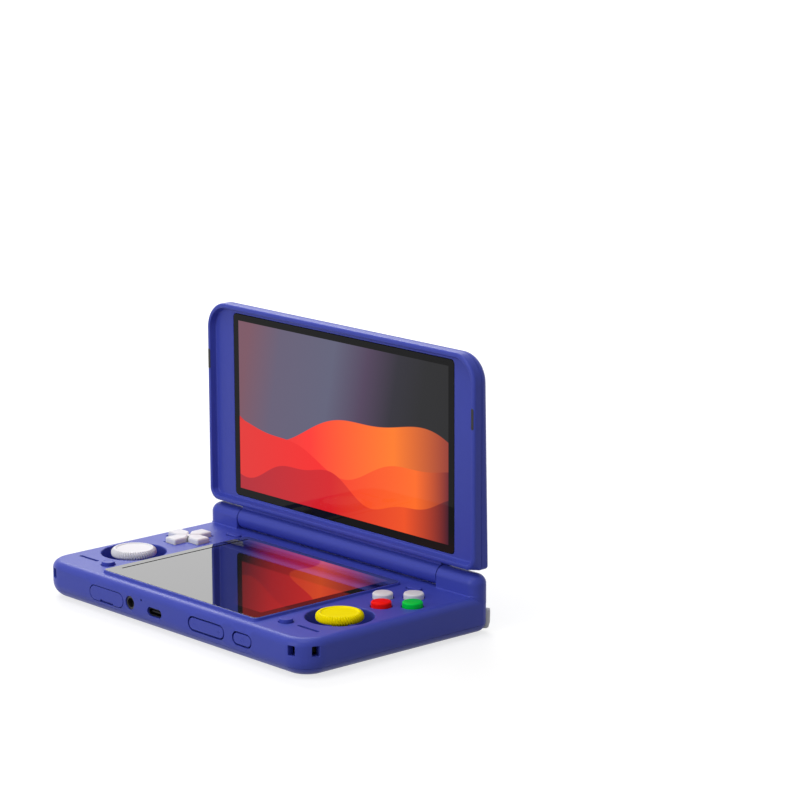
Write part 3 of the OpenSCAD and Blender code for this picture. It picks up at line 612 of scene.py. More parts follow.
def moulding_group():
    """Fine spark-eroded grain and broad handling marks, as colour, roughness and height."""
    tree = bpy.data.node_groups.new("Moulded plastic", "ShaderNodeTree")
    source, result = group_io(
        tree,
        [
            ("Position", "Vector", (0, 0, 0)),
            ("Colour", "Color", (0.5, 0.5, 0.5, 1)),
            ("Roughness", "Float", 0.5),
            ("Grain", "Float", 1.0),
            ("Marks", "Float", 1.0),
        ],
        [("Colour", "Color"), ("Roughness", "Float"), ("Height", "Float")],
    )
    grain = tree.nodes.new("ShaderNodeTexNoise")
    grain.inputs["Scale"].default_value = 3200
    grain.inputs["Detail"].default_value = 3
    pits = tree.nodes.new("ShaderNodeTexVoronoi")
    pits.inputs["Scale"].default_value = 2400
    marks = tree.nodes.new("ShaderNodeTexNoise")
    marks.inputs["Scale"].default_value = 26
    marks.inputs["Detail"].default_value = 5
    marks.inputs["Roughness"].default_value = 0.62
    for node in (grain, pits, marks):
        tree.links.new(source.outputs["Position"], node.inputs["Vector"])
    fine = maths(tree, "MULTIPLY_ADD", pits.outputs["Distance"], 0.5, grain.outputs["Fac"])
    tree.links.new(maths(tree, "MULTIPLY", fine, source.outputs["Grain"]), result.inputs["Height"])
    swing = maths(tree, "SUBTRACT", marks.outputs["Fac"], 0.5)
    amount = maths(tree, "MULTIPLY", swing, source.outputs["Marks"])
    rough = maths(tree, "MULTIPLY_ADD", amount, 0.22, source.outputs["Roughness"], clamp=True)
    tree.links.new(rough, result.inputs["Roughness"])
    tint = tree.nodes.new("ShaderNodeHueSaturation")
    tree.links.new(source.outputs["Colour"], tint.inputs["Color"])
    speck = maths(tree, "SUBTRACT", grain.outputs["Fac"], 0.5)
    shade = maths(tree, "MULTIPLY_ADD", amount, 0.10, 1.0)
    tree.links.new(maths(tree, "MULTIPLY_ADD", speck, 0.08, shade), tint.inputs["Value"])
    tree.links.new(tint.outputs["Color"], result.inputs["Colour"])
    return tree


def linear(rgb):
    """Screen colour, 0 to 255, as linear light."""
    c = np.asarray(rgb, float) / 255
    return (*np.where(c <= 0.04045, c / 12.92, ((c + 0.055) / 1.055) ** 2.4), 1.0)


def new_material(name):
    """A material with its node tree, its shader and the socket of the piece's own coordinates."""
    material = bpy.data.materials.new(name)
    material.use_nodes = True
    tree = material.node_tree
    shader = tree.nodes["Principled BSDF"]
    place = tree.nodes.new("ShaderNodeTexCoord").outputs["Object"]
    return material, tree, shader, place


def plastic(name, colour, roughness=0.45, grain=1.0, marks=1.0, depth=0.012, specular=0.5):
    """Moulded plastic of one colour, with its grain as a bump of the given depth in mm."""
    material, tree, shader, place = new_material(name)
    effect = tree.nodes.new("ShaderNodeGroup")
    effect.node_tree = bpy.data.node_groups.get("Moulded plastic") or moulding_group()
    tree.links.new(place, effect.inputs["Position"])
    effect.inputs["Colour"].default_value = colour
    effect.inputs["Roughness"].default_value = roughness
    effect.inputs["Grain"].default_value = grain
    effect.inputs["Marks"].default_value = marks
    bump = tree.nodes.new("ShaderNodeBump")
    bump.inputs["Distance"].default_value = depth * MM
    bump.inputs["Strength"].default_value = 1.0
    tree.links.new(effect.outputs["Height"], bump.inputs["Height"])
    tree.links.new(effect.outputs["Colour"], shader.inputs["Base Color"])
    tree.links.new(effect.outputs["Roughness"], shader.inputs["Roughness"])
    tree.links.new(bump.outputs["Normal"], shader.inputs["Normal"])
    shader.inputs["Specular IOR Level"].default_value = specular
    return material


def metal(name, colour, roughness=0.3, stretch=(1, 1, 60)):
    """Metal with fine tool marks drawn out along one direction."""
    material, tree, shader, place = new_material(name)
    shader.inputs["Metallic"].default_value = 1.0
    mapping = tree.nodes.new("ShaderNodeMapping")
    mapping.inputs["Scale"].default_value = [s * 60 for s in stretch]
    tree.links.new(place, mapping.inputs["Vector"])
    lines = tree.nodes.new("ShaderNodeTexNoise")
    lines.inputs["Scale"].default_value = 8
    lines.inputs["Detail"].default_value = 6
    tree.links.new(mapping.outputs["Vector"], lines.inputs["Vector"])
    rough = maths(tree, "MULTIPLY_ADD", lines.outputs["Fac"], 0.25, roughness - 0.12)
    tree.links.new(rough, shader.inputs["Roughness"])
    ramp = tree.nodes.new("ShaderNodeValToRGB")
    ramp.color_ramp.elements[0].color = [c * 0.8 for c in colour[:3]] + [1]
    ramp.color_ramp.elements[1].color = colour
    tree.links.new(lines.outputs["Fac"], ramp.inputs["Fac"])
    tree.links.new(ramp.outputs["Color"], shader.inputs["Base Color"])
    bump = tree.nodes.new("ShaderNodeBump")
    bump.inputs["Distance"].default_value = 0.01 * MM
    tree.links.new(lines.outputs["Fac"], bump.inputs["Height"])
    tree.links.new(bump.outputs["Normal"], shader.inputs["Normal"])
    return material


def circuit_board():
    """Solder mask with copper tracks under it: bands of a brick pattern tint the green."""
    material, tree, shader, place = new_material("Circuit board")
    tracks = tree.nodes.new("ShaderNodeTexBrick")
    tracks.inputs["Scale"].default_value = 260
    tracks.inputs["Mortar Size"].default_value = 0.03
    tracks.inputs["Color1"].default_value = linear((20, 84, 48))
    tracks.inputs["Color2"].default_value = linear((16, 70, 42))
    tracks.inputs["Mortar"].default_value = linear((70, 120, 60))
    tree.links.new(place, tracks.inputs["Vector"])
    tree.links.new(tracks.outputs["Color"], shader.inputs["Base Color"])
    sheen = tree.nodes.new("ShaderNodeTexNoise")
    sheen.inputs["Scale"].default_value = 400
    tree.links.new(place, sheen.inputs["Vector"])
    rough = maths(tree, "MULTIPLY_ADD", sheen.outputs["Fac"], 0.2, 0.25)
    tree.links.new(rough, shader.inputs["Roughness"])
    return material


def smear_group():
    """Faint wiping marks on glass: a stretched noise, as roughness."""
    tree = bpy.data.node_groups.new("Wiped glass", "ShaderNodeTree")
    source, result = group_io(
        tree,
        [("Position", "Vector", (0, 0, 0)), ("Low", "Float", 0.02), ("High", "Float", 0.06)],
        [("Roughness", "Float")],
    )
    mapping = tree.nodes.new("ShaderNodeMapping")
    mapping.inputs["Rotation"].default_value = (0.4, 0.3, 0.6)
    mapping.inputs["Scale"].default_value = (18, 70, 40)
    tree.links.new(source.outputs["Position"], mapping.inputs["Vector"])
    noise = tree.nodes.new("ShaderNodeTexNoise")
    noise.inputs["Scale"].default_value = 1
    noise.inputs["Detail"].default_value = 4
    tree.links.new(mapping.outputs["Vector"], noise.inputs["Vector"])
    span = maths(tree, "SUBTRACT", source.outputs["High"], source.outputs["Low"])
    rough = maths(tree, "MULTIPLY_ADD", noise.outputs["Fac"], span, source.outputs["Low"])
    tree.links.new(rough, result.inputs["Roughness"])
    return tree


def ridge_group():
    """One range of soft hills: 1 below the line height + swell of a sum of two sines, else 0."""
    tree = bpy.data.node_groups.new("Ridge line", "ShaderNodeTree")
    source, result = group_io(
        tree,
        [
            ("Across", "Float", 0.0),
            ("Up", "Float", 0.0),
            ("Height", "Float", 0.3),
            ("Swell", "Float", 0.1),
            ("Waves", "Float", 6.0),
            ("Shift", "Float", 0.0),
            ("Softness", "Float", 0.01),
        ],
        [("Mask", "Float")],
    )
    out = source.outputs
    phase = maths(tree, "MULTIPLY_ADD", out["Across"], out["Waves"], out["Shift"])
    second = maths(tree, "MULTIPLY", maths(tree, "SINE", maths(tree, "MULTIPLY", phase, 2.3)), 0.35)
    wave = maths(tree, "ADD", maths(tree, "SINE", phase), second)
    line = maths(tree, "MULTIPLY_ADD", wave, out["Swell"], out["Height"])
    gap = maths(tree, "SUBTRACT", line, out["Up"])
    mask = maths(tree, "DIVIDE", gap, out["Softness"], clamp=True)
    tree.links.new(mask, result.inputs["Mask"])
    return tree


def ramp(tree, factor, stops):
    """Colour ramp with the given (position, screen colour) stops."""
    node = tree.nodes.new("ShaderNodeValToRGB")
    elements = node.color_ramp.elements
    for element, (position, colour) in zip(elements, (stops[0], stops[-1])):
        element.position, element.color = position, linear(colour)
    for position, colour in stops[1:-1]:
        elements.new(position).color = linear(colour)
    tree.links.new(factor, node.inputs["Fac"])
    return node.outputs["Color"]


def blend(tree, factor, a, b):
    """a where the factor is 0, b where it is 1."""
    node = tree.nodes.new("ShaderNodeMix")
    node.data_type = "RGBA"
    tree.links.new(factor, node.inputs[0])
    tree.links.new(a, node.inputs[6])
    tree.links.new(b, node.inputs[7])
    return node.outputs[2]


def scaled(tree, value, span):
    """The value measured along a span (low, high): 0 at its low end and 1 at its high end."""
    low, high = span
    return maths(tree, "MULTIPLY_ADD", value, 1 / (high - low), -low / (high - low))


def within(tree, value, low, high):
    """1 where the value lies between low and high, else 0."""
    above = maths(tree, "GREATER_THAN", value, low)
    return maths(tree, "MULTIPLY", above, maths(tree, "LESS_THAN", value, high))


def bordered(tree, inside_a, inside_b, colour):
    """The colour where both masks are 1, and the black border of the display elsewhere."""
    black = tree.nodes.new("ShaderNodeRGB")
    black.outputs[0].default_value = (0, 0, 0, 1)
    return blend(tree, maths(tree, "MULTIPLY", inside_a, inside_b), black.outputs[0], colour)


def hill(tree, across, up, **values):
    """Mask of one range of hills, seen in coordinates across and up."""
    node = tree.nodes.new("ShaderNodeGroup")
    node.node_tree = bpy.data.node_groups.get("Ridge line") or ridge_group()
    tree.links.new(across, node.inputs["Across"])
    tree.links.new(up, node.inputs["Up"])
    for socket, value in values.items():
        node.inputs[socket].default_value = value
    return node.outputs["Mask"]


def lower_picture(tree, place):
    """Diagonal dusk on the lower display, dark at the front left and bright at the rear right.

    Its bands follow slant = x / across_run + y / along_run + 0.155, with one dune line in them.
    """
    across_run, along_run = 0.1047, 0.0952
    split = tree.nodes.new("ShaderNodeSeparateXYZ")
    tree.links.new(place, split.inputs[0])
    x, y = split.outputs["X"], split.outputs["Y"]
    slant = maths(tree, "MULTIPLY_ADD", y, 1 / along_run, 0.155)
    slant = maths(tree, "MULTIPLY_ADD", x, 1 / across_run, slant)
    across = scaled(tree, y, LOWER_PICTURE_Y)
    dune = hill(tree, across, slant, Height=0.46, Swell=0.1, Waves=6.0, Shift=0.8, Softness=0.01)
    near = [
        (0.0, (0, 0, 0)),
        (0.05, (60, 20, 30)),
        (0.22, (176, 28, 34)),
        (0.5, (226, 40, 32)),
        (0.7, (150, 40, 44)),
    ]
    far = [
        (0.2, (206, 30, 32)),
        (0.52, (255, 92, 34)),
        (0.7, (190, 54, 46)),
        (0.86, (84, 52, 84)),
        (1.0, (40, 34, 52)),
    ]
    colour = blend(tree, dune, ramp(tree, slant, far), ramp(tree, slant, near))
    inside_x = within(tree, x, *LOWER_PICTURE_X)
    inside_y = within(tree, y, *LOWER_PICTURE_Y)
    return bordered(tree, inside_x, inside_y, colour)


def upper_picture(tree, place):
    """Dusk sky over three ranges of hills on the upper display, each nearer one lower."""
    split = tree.nodes.new("ShaderNodeSeparateXYZ")
    tree.links.new(place, split.inputs[0])
    across = scaled(tree, split.outputs["X"], UPPER_PICTURE_X)
    up = scaled(tree, split.outputs["Z"], UPPER_PICTURE_Z)
    dusk = maths(tree, "MULTIPLY_ADD", up, -0.12, maths(tree, "ADD", across, 0.06))
    sky = [
        (0.0, (122, 84, 98)),
        (0.16, (100, 92, 116)),
        (0.42, (96, 96, 120)),
        (0.58, (80, 64, 90)),
        (0.72, (46, 44, 54)),
        (0.85, (38, 38, 40)),
        (1.0, (36, 36, 37)),
    ]
    far = {0.0: (206, 44, 50), 0.35: (255, 54, 48), 0.75: (255, 124, 38), 1.0: (150, 60, 50)}
    middle = {0.0: (226, 52, 50), 0.4: (246, 40, 38), 0.85: (255, 108, 34), 1.0: (112, 34, 44)}
    near = {0.0: (176, 40, 52), 0.45: (214, 28, 34), 0.8: (240, 82, 34), 1.0: (64, 20, 38)}
    colour = ramp(tree, dusk, sky)
    for height, swell, waves, shift, stops in (
        (0.50, 0.120, 5.2, 3.9, far),
        (0.33, 0.085, 7.0, 1.2, middle),
        (0.17, 0.070, 9.5, 4.4, near),
    ):
        values = {"Height": height, "Swell": swell, "Waves": waves, "Shift": shift}
        mask = hill(tree, across, up, Softness=0.004, **values)
        colour = blend(tree, mask, colour, ramp(tree, across, list(stops.items())))
    inside_x = within(tree, across, 0.0, 1.0)
    inside_z = within(tree, up, 0.0, 1.0)
    return bordered(tree, inside_x, inside_z, colour)


def cover_glass(name):
    """Black glass with faint wiping marks in its roughness."""
    material, tree, shader, place = new_material(name)
    wiped = tree.nodes.new("ShaderNodeGroup")
    wiped.node_tree = bpy.data.node_groups.get("Wiped glass") or smear_group()
    tree.links.new(place, wiped.inputs["Position"])
    tree.links.new(wiped.outputs["Roughness"], shader.inputs["Roughness"])
    return material, tree, shader, place


def lower_display():
    """Strongly reflecting glass over the lower picture, which glows dimly through it."""
    material, tree, shader, place = cover_glass("Lower display glass")
    shader.inputs["IOR"].default_value = 1.75
    shader.inputs["Coat IOR"].default_value = 1.75
    shader.inputs["Coat Weight"].default_value = 1.0
    tone = tree.nodes.new("ShaderNodeTexNoise")
    tone.inputs["Scale"].default_value = 30
    tree.links.new(place, tone.inputs["Vector"])
    colour = ramp(tree, tone.outputs["Fac"], [(0.3, (12, 12, 14)), (0.7, (17, 17, 20))])
    tree.links.new(colour, shader.inputs["Base Color"])
    tree.links.new(lower_picture(tree, place), shader.inputs["Emission Color"])
    shader.inputs["Emission Strength"].default_value = 0.7
    return material


def upper_display():
    """Dull glass over the upper picture, whose glow reaches mirrors at MIRRORED_GLOW of it."""
    material, tree, shader, place = cover_glass("Upper display glass")
    shader.inputs["Base Color"].default_value = (0.004, 0.004, 0.005, 1)
    shader.inputs["Specular IOR Level"].default_value = 0.1
    path = tree.nodes.new("ShaderNodeLightPath")
    change = MIRRORED_GLOW - 1.0
    strength = maths(tree, "MULTIPLY_ADD", path.outputs["Is Glossy Ray"], change, 1.0)
    glow = tree.nodes.new("ShaderNodeVectorMath")
    glow.operation = "SCALE"
    tree.links.new(upper_picture(tree, place), glow.inputs[0])
    tree.links.new(strength, glow.inputs["Scale"])
    tree.links.new(glow.outputs[0], shader.inputs["Emission Color"])
    shader.inputs["Emission Strength"].default_value = 1.0
    return material


MATERIALS = {}


def finishes():
    """All finishes, made once."""
    look = bpy.context.scene.console_look
    MATERIALS.update(
        shell=plastic("Indigo moulding", (*look.shell_colour, 1), 0.38, depth=0.010, specular=0.2),
        light=plastic("Light grey keys", (*look.key_colour, 1), 0.4, 0.6, 0.5, specular=0.12),
        yellow=plastic("Yellow cap", (*look.yellow, 1), 0.4, 0.6, 0.5, specular=0.04),
        red=plastic("Red key", (*look.red, 1), 0.3, 0.3, 0.5, specular=0.06),
        green=plastic("Green key", (*look.green, 1), 0.3, 0.3, 0.5, specular=0.06),
        print=plastic("Printed border", linear((20, 20, 22)), 0.7, 0.3, 0.3, specular=0.0),
        rubber=plastic("Soft rubber", linear((26, 26, 28)), 0.62, 1.4, 1.2),
        dark=plastic("Dark plastic", linear((30, 30, 33)), 0.5),
        foil=metal("Battery foil", linear((178, 178, 182)), 0.42, (1, 1, 1)),
        steel=metal("Turned steel", linear((188, 188, 192)), 0.28),
        # Socket steel is darkened far below bare steel: painted shade standing for the dark inside
        # of the ports
        socket=metal("Steel darkened as painted shade", linear((46, 46, 48)), 0.5, (1, 40, 1)),
        fins=metal("Fins", linear((200, 202, 206)), 0.3, (40, 1, 1)),
        copper=metal("Copper", linear((196, 120, 84)), 0.3, (1, 30, 1)),
        board=circuit_board(),
        panel=plastic("Display panel", linear((16, 16, 20)), 0.25, 0.1),
        lower_glass=lower_display(),
        upper_glass=upper_display(),
    )


NODE_FINISH = {
    "steel": [
        "left_stick_rocker", "right_stick_rocker", "left_stick_stem", "right_stick_stem",
        "shoulder_pins", "left_hinge_cartridge", "right_hinge_cartridge", "left_hinge_shaft",
        "right_hinge_shaft", "hinge_strip", "base_screws",
    ],
    # The data and card sockets take the darkened steel, a painted shade of the port openings
    "socket": ["usb_socket", "card_socket"],
    "board": ["main_board", "left_button_board", "right_button_board", "side_switch_board"],
    "dark": [
        "fan_housing", "fan_rotor", "left_stick_module", "right_stick_module",
        "left_stick_pivot", "right_stick_pivot", "dpad_pivot", "left_speaker", "right_speaker",
        "headphone_jack",
    ],
    "rubber": ["dome_mats", "rubber_feet", "lid_bumpers"],
    "foil": ["battery"],
    "fins": ["heat_sink"],
    "copper": ["heat_pipe"],
    "panel": ["lower_panel", "upper_panel"],
    "shell": [
        "base_top_shell", "base_bottom_cover", "lid_front_frame", "lid_back_cover",
        "hinge_barrel", "card_cover", "volume_rocker", "power_button", "select_button",
        "start_button", "left_menu_button", "right_menu_button",
    ],
    "light": [
        "left_stick_cap", "dpad", "north_button", "west_button", "left_shoulder",
        "right_shoulder", "left_trigger", "right_trigger",
    ],
    "yellow": ["right_stick_cap"],
    "red": ["south_button"],
    "green": ["east_button"],
    "lower_glass": ["lower_glass"],
    "upper_glass": ["upper_glass"],
}


def finish_nodes():
    """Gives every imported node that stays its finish."""
    for finish, names in NODE_FINISH.items():
        for name in names:
            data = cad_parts[name].data
            data.materials.clear()
            data.materials.append(MATERIALS[finish])


# Settings
def colour_property(name, description, rgb):
    """Colour setting with a screen colour, 0 to 255, as its default."""
    return FloatVectorProperty(
        name=name, description=description, subtype="COLOR",
        size=3, min=0, max=1, default=linear(rgb)[:3],
    )


class ConsoleLook(bpy.types.PropertyGroup):
    """Colours that a user would change."""

    shell_colour: colour_property("Shell colour", "Colour of the base and the lid", (63, 74, 174))
    key_colour: colour_property("Key colour", "Colour of the light keys", (226, 226, 230))
    yellow: colour_property("Right stick", "Colour of the right stick cap", (255, 236, 0))
    red: colour_property("South key", "Colour of the south face button", (255, 22, 18))
    green: colour_property("East key", "Colour of the east face button", (0, 205, 72))


class ConsoleStage(bpy.types.PropertyGroup):
    """Camera, lamps and floor."""

    camera_place: FloatVectorProperty(
        name="Camera", description="Where the camera stands", subtype="TRANSLATION", size=3,
        unit="LENGTH", default=(1.01406, -0.84493, 0.38687),
    )
    heading: FloatProperty(
        name="Heading", description="Turn of the camera to the right", subtype="ANGLE",
        default=0.830426,
    )
    elevation: FloatProperty(
        name="Elevation", description="How far the camera looks down", subtype="ANGLE",
        default=0.217274,
    )
    roll: FloatProperty(
        name="Roll", description="Tilt of the picture", subtype="ANGLE", default=-0.003497
    )
    focal_pixels: FloatProperty(
        name="Focal length", description="In widths of a pixel of the 800 pixel picture",
        default=3114.96,
    )
    key_power: FloatProperty(
        name="Key lamp", description="Power of the main lamp", unit="POWER", default=17.5
    )
    overhead_power: FloatProperty(
        name="Overhead lamp", description="Power of the lamp above", unit="POWER", default=14.0
    )
    fill_power: FloatProperty(
        name="Fill lamp", description="Power of the fill lamp", unit="POWER", default=12.5
    )
    sky: FloatProperty(
        name="Surroundings", description="Strength of the even light", default=0.3
    )
    picture_size: IntProperty(name="Picture", description="Width in pixels", default=800)


# Stage
def seen_directly(tree):
    """1 for rays from the camera and for their reflections and refractions, else 0."""
    path = tree.nodes.new("ShaderNodeLightPath")
    seen = maths(tree, "MAXIMUM", path.outputs["Is Camera Ray"], path.outputs["Is Glossy Ray"])
    return maths(tree, "MAXIMUM", seen, path.outputs["Is Transmission Ray"])


class CONSOLE_OT_stage(bpy.types.Operator):
    """Floor, lamps, surroundings and camera"""

    bl_idname = "console.stage"
    bl_label = "Stage"

    def execute(self, context):
        scene = context.scene
        stage = scene.console_stage
        scene.view_settings.view_transform = "Standard"
        floor = bpy.data.meshes.new("floor")
        reach = 6.0
        corners = [(-reach, -reach, 0), (reach, -reach, 0), (reach, reach, 0), (-reach, reach, 0)]
        floor.from_pydata(corners, [], [(0, 1, 2, 3)])
        plane = bpy.data.objects.new("floor", floor)
        scene.collection.objects.link(plane)
        floor.materials.append(self.floor_material())
        self.world(scene, stage)
        self.lamp(scene, "key", (-1.15, 0.75, 1.25), (0, 0, 0.04), 1.2, stage.key_power)
        self.lamp(scene, "overhead", (0.1, -0.5, 1.9), (0, 0, 0.04), 1.4, stage.overhead_power)
        self.lamp(scene, "fill", (-0.2, -1.7, 0.7), (0, 0, 0.05), 1.4, stage.fill_power)
        self.camera(scene, stage)
        return {"FINISHED"}

    def floor_material(self):
        """White ground that keeps shadows.

        To the camera and to mirrors it glows by FLOOR_LIFT near its middle, and by 1 further off:
        fade = 1.2 d - 0.3 between 0 and 1, where d is the distance in metres.
        """
        material, tree, shader, place = new_material("Studio floor")
        noise = tree.nodes.new("ShaderNodeTexNoise")
        noise.inputs["Scale"].default_value = 3
        tree.links.new(place, noise.inputs["Vector"])
        colour = ramp(tree, noise.outputs["Fac"], [(0.3, (154, 154, 154)), (0.7, (162, 162, 162))])
        tree.links.new(colour, shader.inputs["Base Color"])
        shader.inputs["Roughness"].default_value = 0.9
        shader.inputs["Specular IOR Level"].default_value = 0.1
        shader.inputs["Emission Color"].default_value = (1, 1, 1, 1)
        away = tree.nodes.new("ShaderNodeVectorMath")
        away.operation = "LENGTH"
        tree.links.new(place, away.inputs[0])
        fade = maths(tree, "MULTIPLY_ADD", away.outputs["Value"], 1.2, -0.3, clamp=True)
        amount = maths(tree, "MULTIPLY_ADD", fade, 1.0 - FLOOR_LIFT, FLOOR_LIFT)
        lift = maths(tree, "MULTIPLY", seen_directly(tree), amount)
        tree.links.new(lift, shader.inputs["Emission Strength"])
        return material

    def world(self, scene, stage):
        """Even white surroundings: full white where they are seen, weaker as light."""
        world = bpy.data.worlds.new("Surroundings")
        scene.world = world
        world.use_nodes = True
        tree = world.node_tree
        background = tree.nodes["Background"]
        strength = maths(tree, "MULTIPLY_ADD", seen_directly(tree), 1.0 - stage.sky, stage.sky)
        tree.links.new(strength, background.inputs["Strength"])
        background.inputs["Color"].default_value = (1, 1, 1, 1)

    def lamp(self, scene, name, place, aim, size, power):
        """Round soft lamp at a place, turned towards its aim, in metres and watts."""
        data = bpy.data.lights.new(name, "AREA")
        data.shape = "DISK"
        data.size = size
        data.energy = power
        lamp = bpy.data.objects.new(name, data)
        scene.collection.objects.link(lamp)
        lamp.location = place
        lamp.rotation_euler = (Vector(aim) - Vector(place)).to_track_quat("-Z", "Y").to_euler()

    def camera(self, scene, stage):
        """Looks along the heading, down by the elevation, turned by the roll."""
        h, e, r = stage.heading, stage.elevation, stage.roll
        ahead = Vector((-math.sin(h) * math.cos(e), math.cos(h) * math.cos(e), -math.sin(e)))
        right = Vector((math.cos(h), math.sin(h), 0))
        up = right.cross(ahead)
        side = right * math.cos(r) + up * math.sin(r)
        over = side.cross(ahead)
        data = bpy.data.cameras.new("camera")
        data.sensor_width = 36
        data.lens = stage.focal_pixels * data.sensor_width / stage.picture_size
        camera = bpy.data.objects.new("camera", data)
        scene.collection.objects.link(camera)
        turn = Matrix((side, over, -ahead)).transposed().to_4x4()
        camera.matrix_world = Matrix.Translation(stage.camera_place) @ turn
        scene.camera = camera


class CONSOLE_OT_finishes(bpy.types.Operator):
    """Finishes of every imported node"""

    bl_idname = "console.finishes"
    bl_label = "Finishes"

    def execute(self, context):
        finishes()
        finish_nodes()
        return {"FINISHED"}


# Base
class CONSOLE_OT_base_upper_case(bpy.types.Operator):
    """Upper case of the base, with its wells, openings and hinge knuckles"""

    bl_idname = "console.base_upper_case"
    bl_label = "Base upper case"

    def execute(self, context):
        skin = Skin()
        self.wall(skin)
        self.deck(skin)
        self.hinge_ledge(skin)
        skin.add(self.knuckle(KNUCKLE_RIGHT)).add(self.knuckle(KNUCKLE_LEFT).mirrored())
        skin.object("base_upper_case", MATERIALS["shell"], "base", ["base_top_shell"], "shell")
        return {"FINISHED"}

    def wall(self, skin):
        """Wall from the parting line over the top edge, with the openings of the front and rear.

        It is filled in (s, v), where v is the length along its profile, and then put on S(s, z).
        """
        cut = []
        ports = [
            (pill(*CARD_SPOT, 24.2, 7.0), 2.6),
            (circle(*HEADPHONE_SPOT, 3.05), 1.2),
            (circle(*MICROPHONE_SPOT, 0.5, 24), 2.6),
            (pill(*DATA_SPOT, 9.8, 3.9), 2.6),
            (pill(*VOLUME_SPOT, 24.3, 6.6), 2.6),
            (pill(*POWER_SPOT, 12.7, 6.1), 2.6),
        ]
        for loop, depth in ports:
            on_wall = np.column_stack([BASE.front(loop[:, 0]), loop[:, 1]])
            cut.append(wall_opening(skin, on_wall, depth, 0.12))
        for angle in STRAP_ANGLES:
            right = BASE.corner(angle)
            for s in (right, 2 * BASE.front(0) - right):
                eye = rounded_rect(s - 1.7, s + 1.7, 9.75, 14.05, 0.4, n=3)
                cut.append(wall_opening(skin, eye, 3.4))
        windows = [shoulder_loop(SHOULDER_GAP), trigger_loop(TRIGGER_GAP)]
        for loop in windows + [opposite(loop) for loop in windows]:
            cut.append(self.notch(skin, loop))
        for i in range(SLOT_COUNT):
            cut.append(self.notch(skin, exhaust_loop(i)))
        cut.append(self.ledge_cut())
        edge = TOP_EDGE_Z + TOP_EDGE_R * np.radians(np.linspace(0, 90, 11)[1:])
        rows = [np.linspace(PART_Z, 8, 6), np.linspace(9.5, TOP_EDGE_Z, 3), edge]
        columns = base_columns()
        rim, inner = unrolled(columns, np.concatenate(rows))
        skin.cover(rim, lambda p: BASE.at(p[:, 0], v_to_height(p[:, 1])), cut, inner)
        under = [BASE.at(columns, np.full(len(columns), PART_Z), g) for g in (0, -WALL)]
        skin.loft(under, closed=False, flip=True)

    def ledge_cut(self):
        """Where the wall ends at the ledge under the barrel: all above it, between the knuckles."""
        right, left = BASE.rear(np.array([KNUCKLE_RIGHT, -KNUCKLE_LEFT]))
        low, above_all = height_to_v(LEDGE_Z), 40
        return np.array([[right, low], [left, low], [left, above_all], [right, above_all]])

    def notch(self, skin, loop):
        """An opening that runs out through the parting line: lined along its whole loop."""
        return wall_opening(skin, loop, WALL, edge=0.2)

    def deck(self, skin):
        """Level deck inside the top edge, with everything that passes through it."""
        columns = base_columns()
        rim = BASE.at(columns[:-1], np.full(len(columns) - 1, DECK_Z))[:, :2]
        cut = []
        for side in (-1, 1):
            cut.append(self.well(skin, side * STICK_X))
            slot = pill(side * SPEAKER_SLOT[0], SPEAKER_SLOT[1], 13.4, 1.7)
            cut.append(deck_opening(skin, slot, DECK_T, 0.05))
            disc = circle(side * ROUND_KEY[0], ROUND_KEY[1], ROUND_KEY_R + GAP, 48)
            cut.append(deck_opening(skin, disc, DECK_T))
            length, width = OBLONG_SIZE
            oblong = pill(side * OBLONG_KEY[0], OBLONG_KEY[1], length + 2 * GAP, width + 2 * GAP)
            cut.append(deck_opening(skin, oblong, DECK_T, 0.2))
        pad = pad_opening() + (-PAD_X, PAD_Y)
        cut.append(deck_opening(skin, pad, DECK_T, 0.15))
        for angle in (0, 90, 180, 270):
            disc = circle(*face_key_spot(angle), FACE_KEY_R + GAP)
            cut.append(deck_opening(skin, disc, DECK_T))
        cut.append(self.plateau(skin))
        cut.append(rounded_rect(-KNUCKLE_LEFT, KNUCKLE_RIGHT, LEDGE_Y - 0.5, 60, 0.01, n=1))
        skin.cover(rim, level(DECK_Z), cut)

    def well(self, skin, x):
        """Conical stick well, a lathe: rounded lip, slope, fillet, floor and hole for the stick."""
        floor_z, low, high, lip = 9.4, 13.7, 14.7, 0.6
        slope = math.degrees(math.atan2(DECK_Z - floor_z, high - low))
        a = np.radians(np.linspace(0, slope, 8))
        profile = np.concatenate(
            [
                np.column_stack([high + lip - lip * np.sin(a), DECK_Z - lip * (1 - np.cos(a))]),
                arc(low - 0.75, floor_z + 0.8, 0.8, -6, -90, 6),
                arc(7.5, floor_z - 0.3, 0.3, 90, 180, 4),
                [[7.2, floor_z - 1.2]],
            ]
        )
        skin.loft(lathe(profile, (x, STICK_Y, 0)), flip=True)
        return circle(x, STICK_Y, high + lip, 96)

    def plateau(self, skin):
        """Raised surround of the lower display: foot fillet, rounded shoulder, flat, glass seat."""
        x, y0, y1 = GLASS_HIGH[0], GLASS_LOW[1], GLASS_HIGH[1]
        steps = [(1.25, 0.0), (1.0, 0.03), (0.85, 0.12), (0.76, 0.3), (0.7, 0.8), (0.66, 1.05)]
        steps += [(0.56, 1.2), (0.4, 1.28), (0.14, 1.3), (0.06, 1.26), (0.04, 0.6)]
        outlines = [rounded_rect(-x - g, x + g, y0 - g, y1 + g, 2.0 + g) for g, h in steps]
        skin.loft([raised(line, DECK_Z + h) for line, (g, h) in zip(outlines, steps)])
        return outlines[0]

    def hinge_ledge(self, skin):
        """Step down to the ledge under the barrel: rounded edge, wall, floor."""
        x = np.array([-KNUCKLE_LEFT, KNUCKLE_RIGHT])
        edge = arc(LEDGE_Y - 0.5, DECK_Z - 0.5, 0.5, 90, 0, 6)
        back = BASE.at(BASE.rear(x), np.array([LEDGE_Z, LEDGE_Z]))[0, 1]
        line = np.concatenate([edge, [[LEDGE_Y, LEDGE_Z]], [[back, LEDGE_Z]]])
        rings = [np.column_stack([x, np.full(2, y), np.full(2, z)]) for y, z in line]
        skin.loft(rings, closed=False)

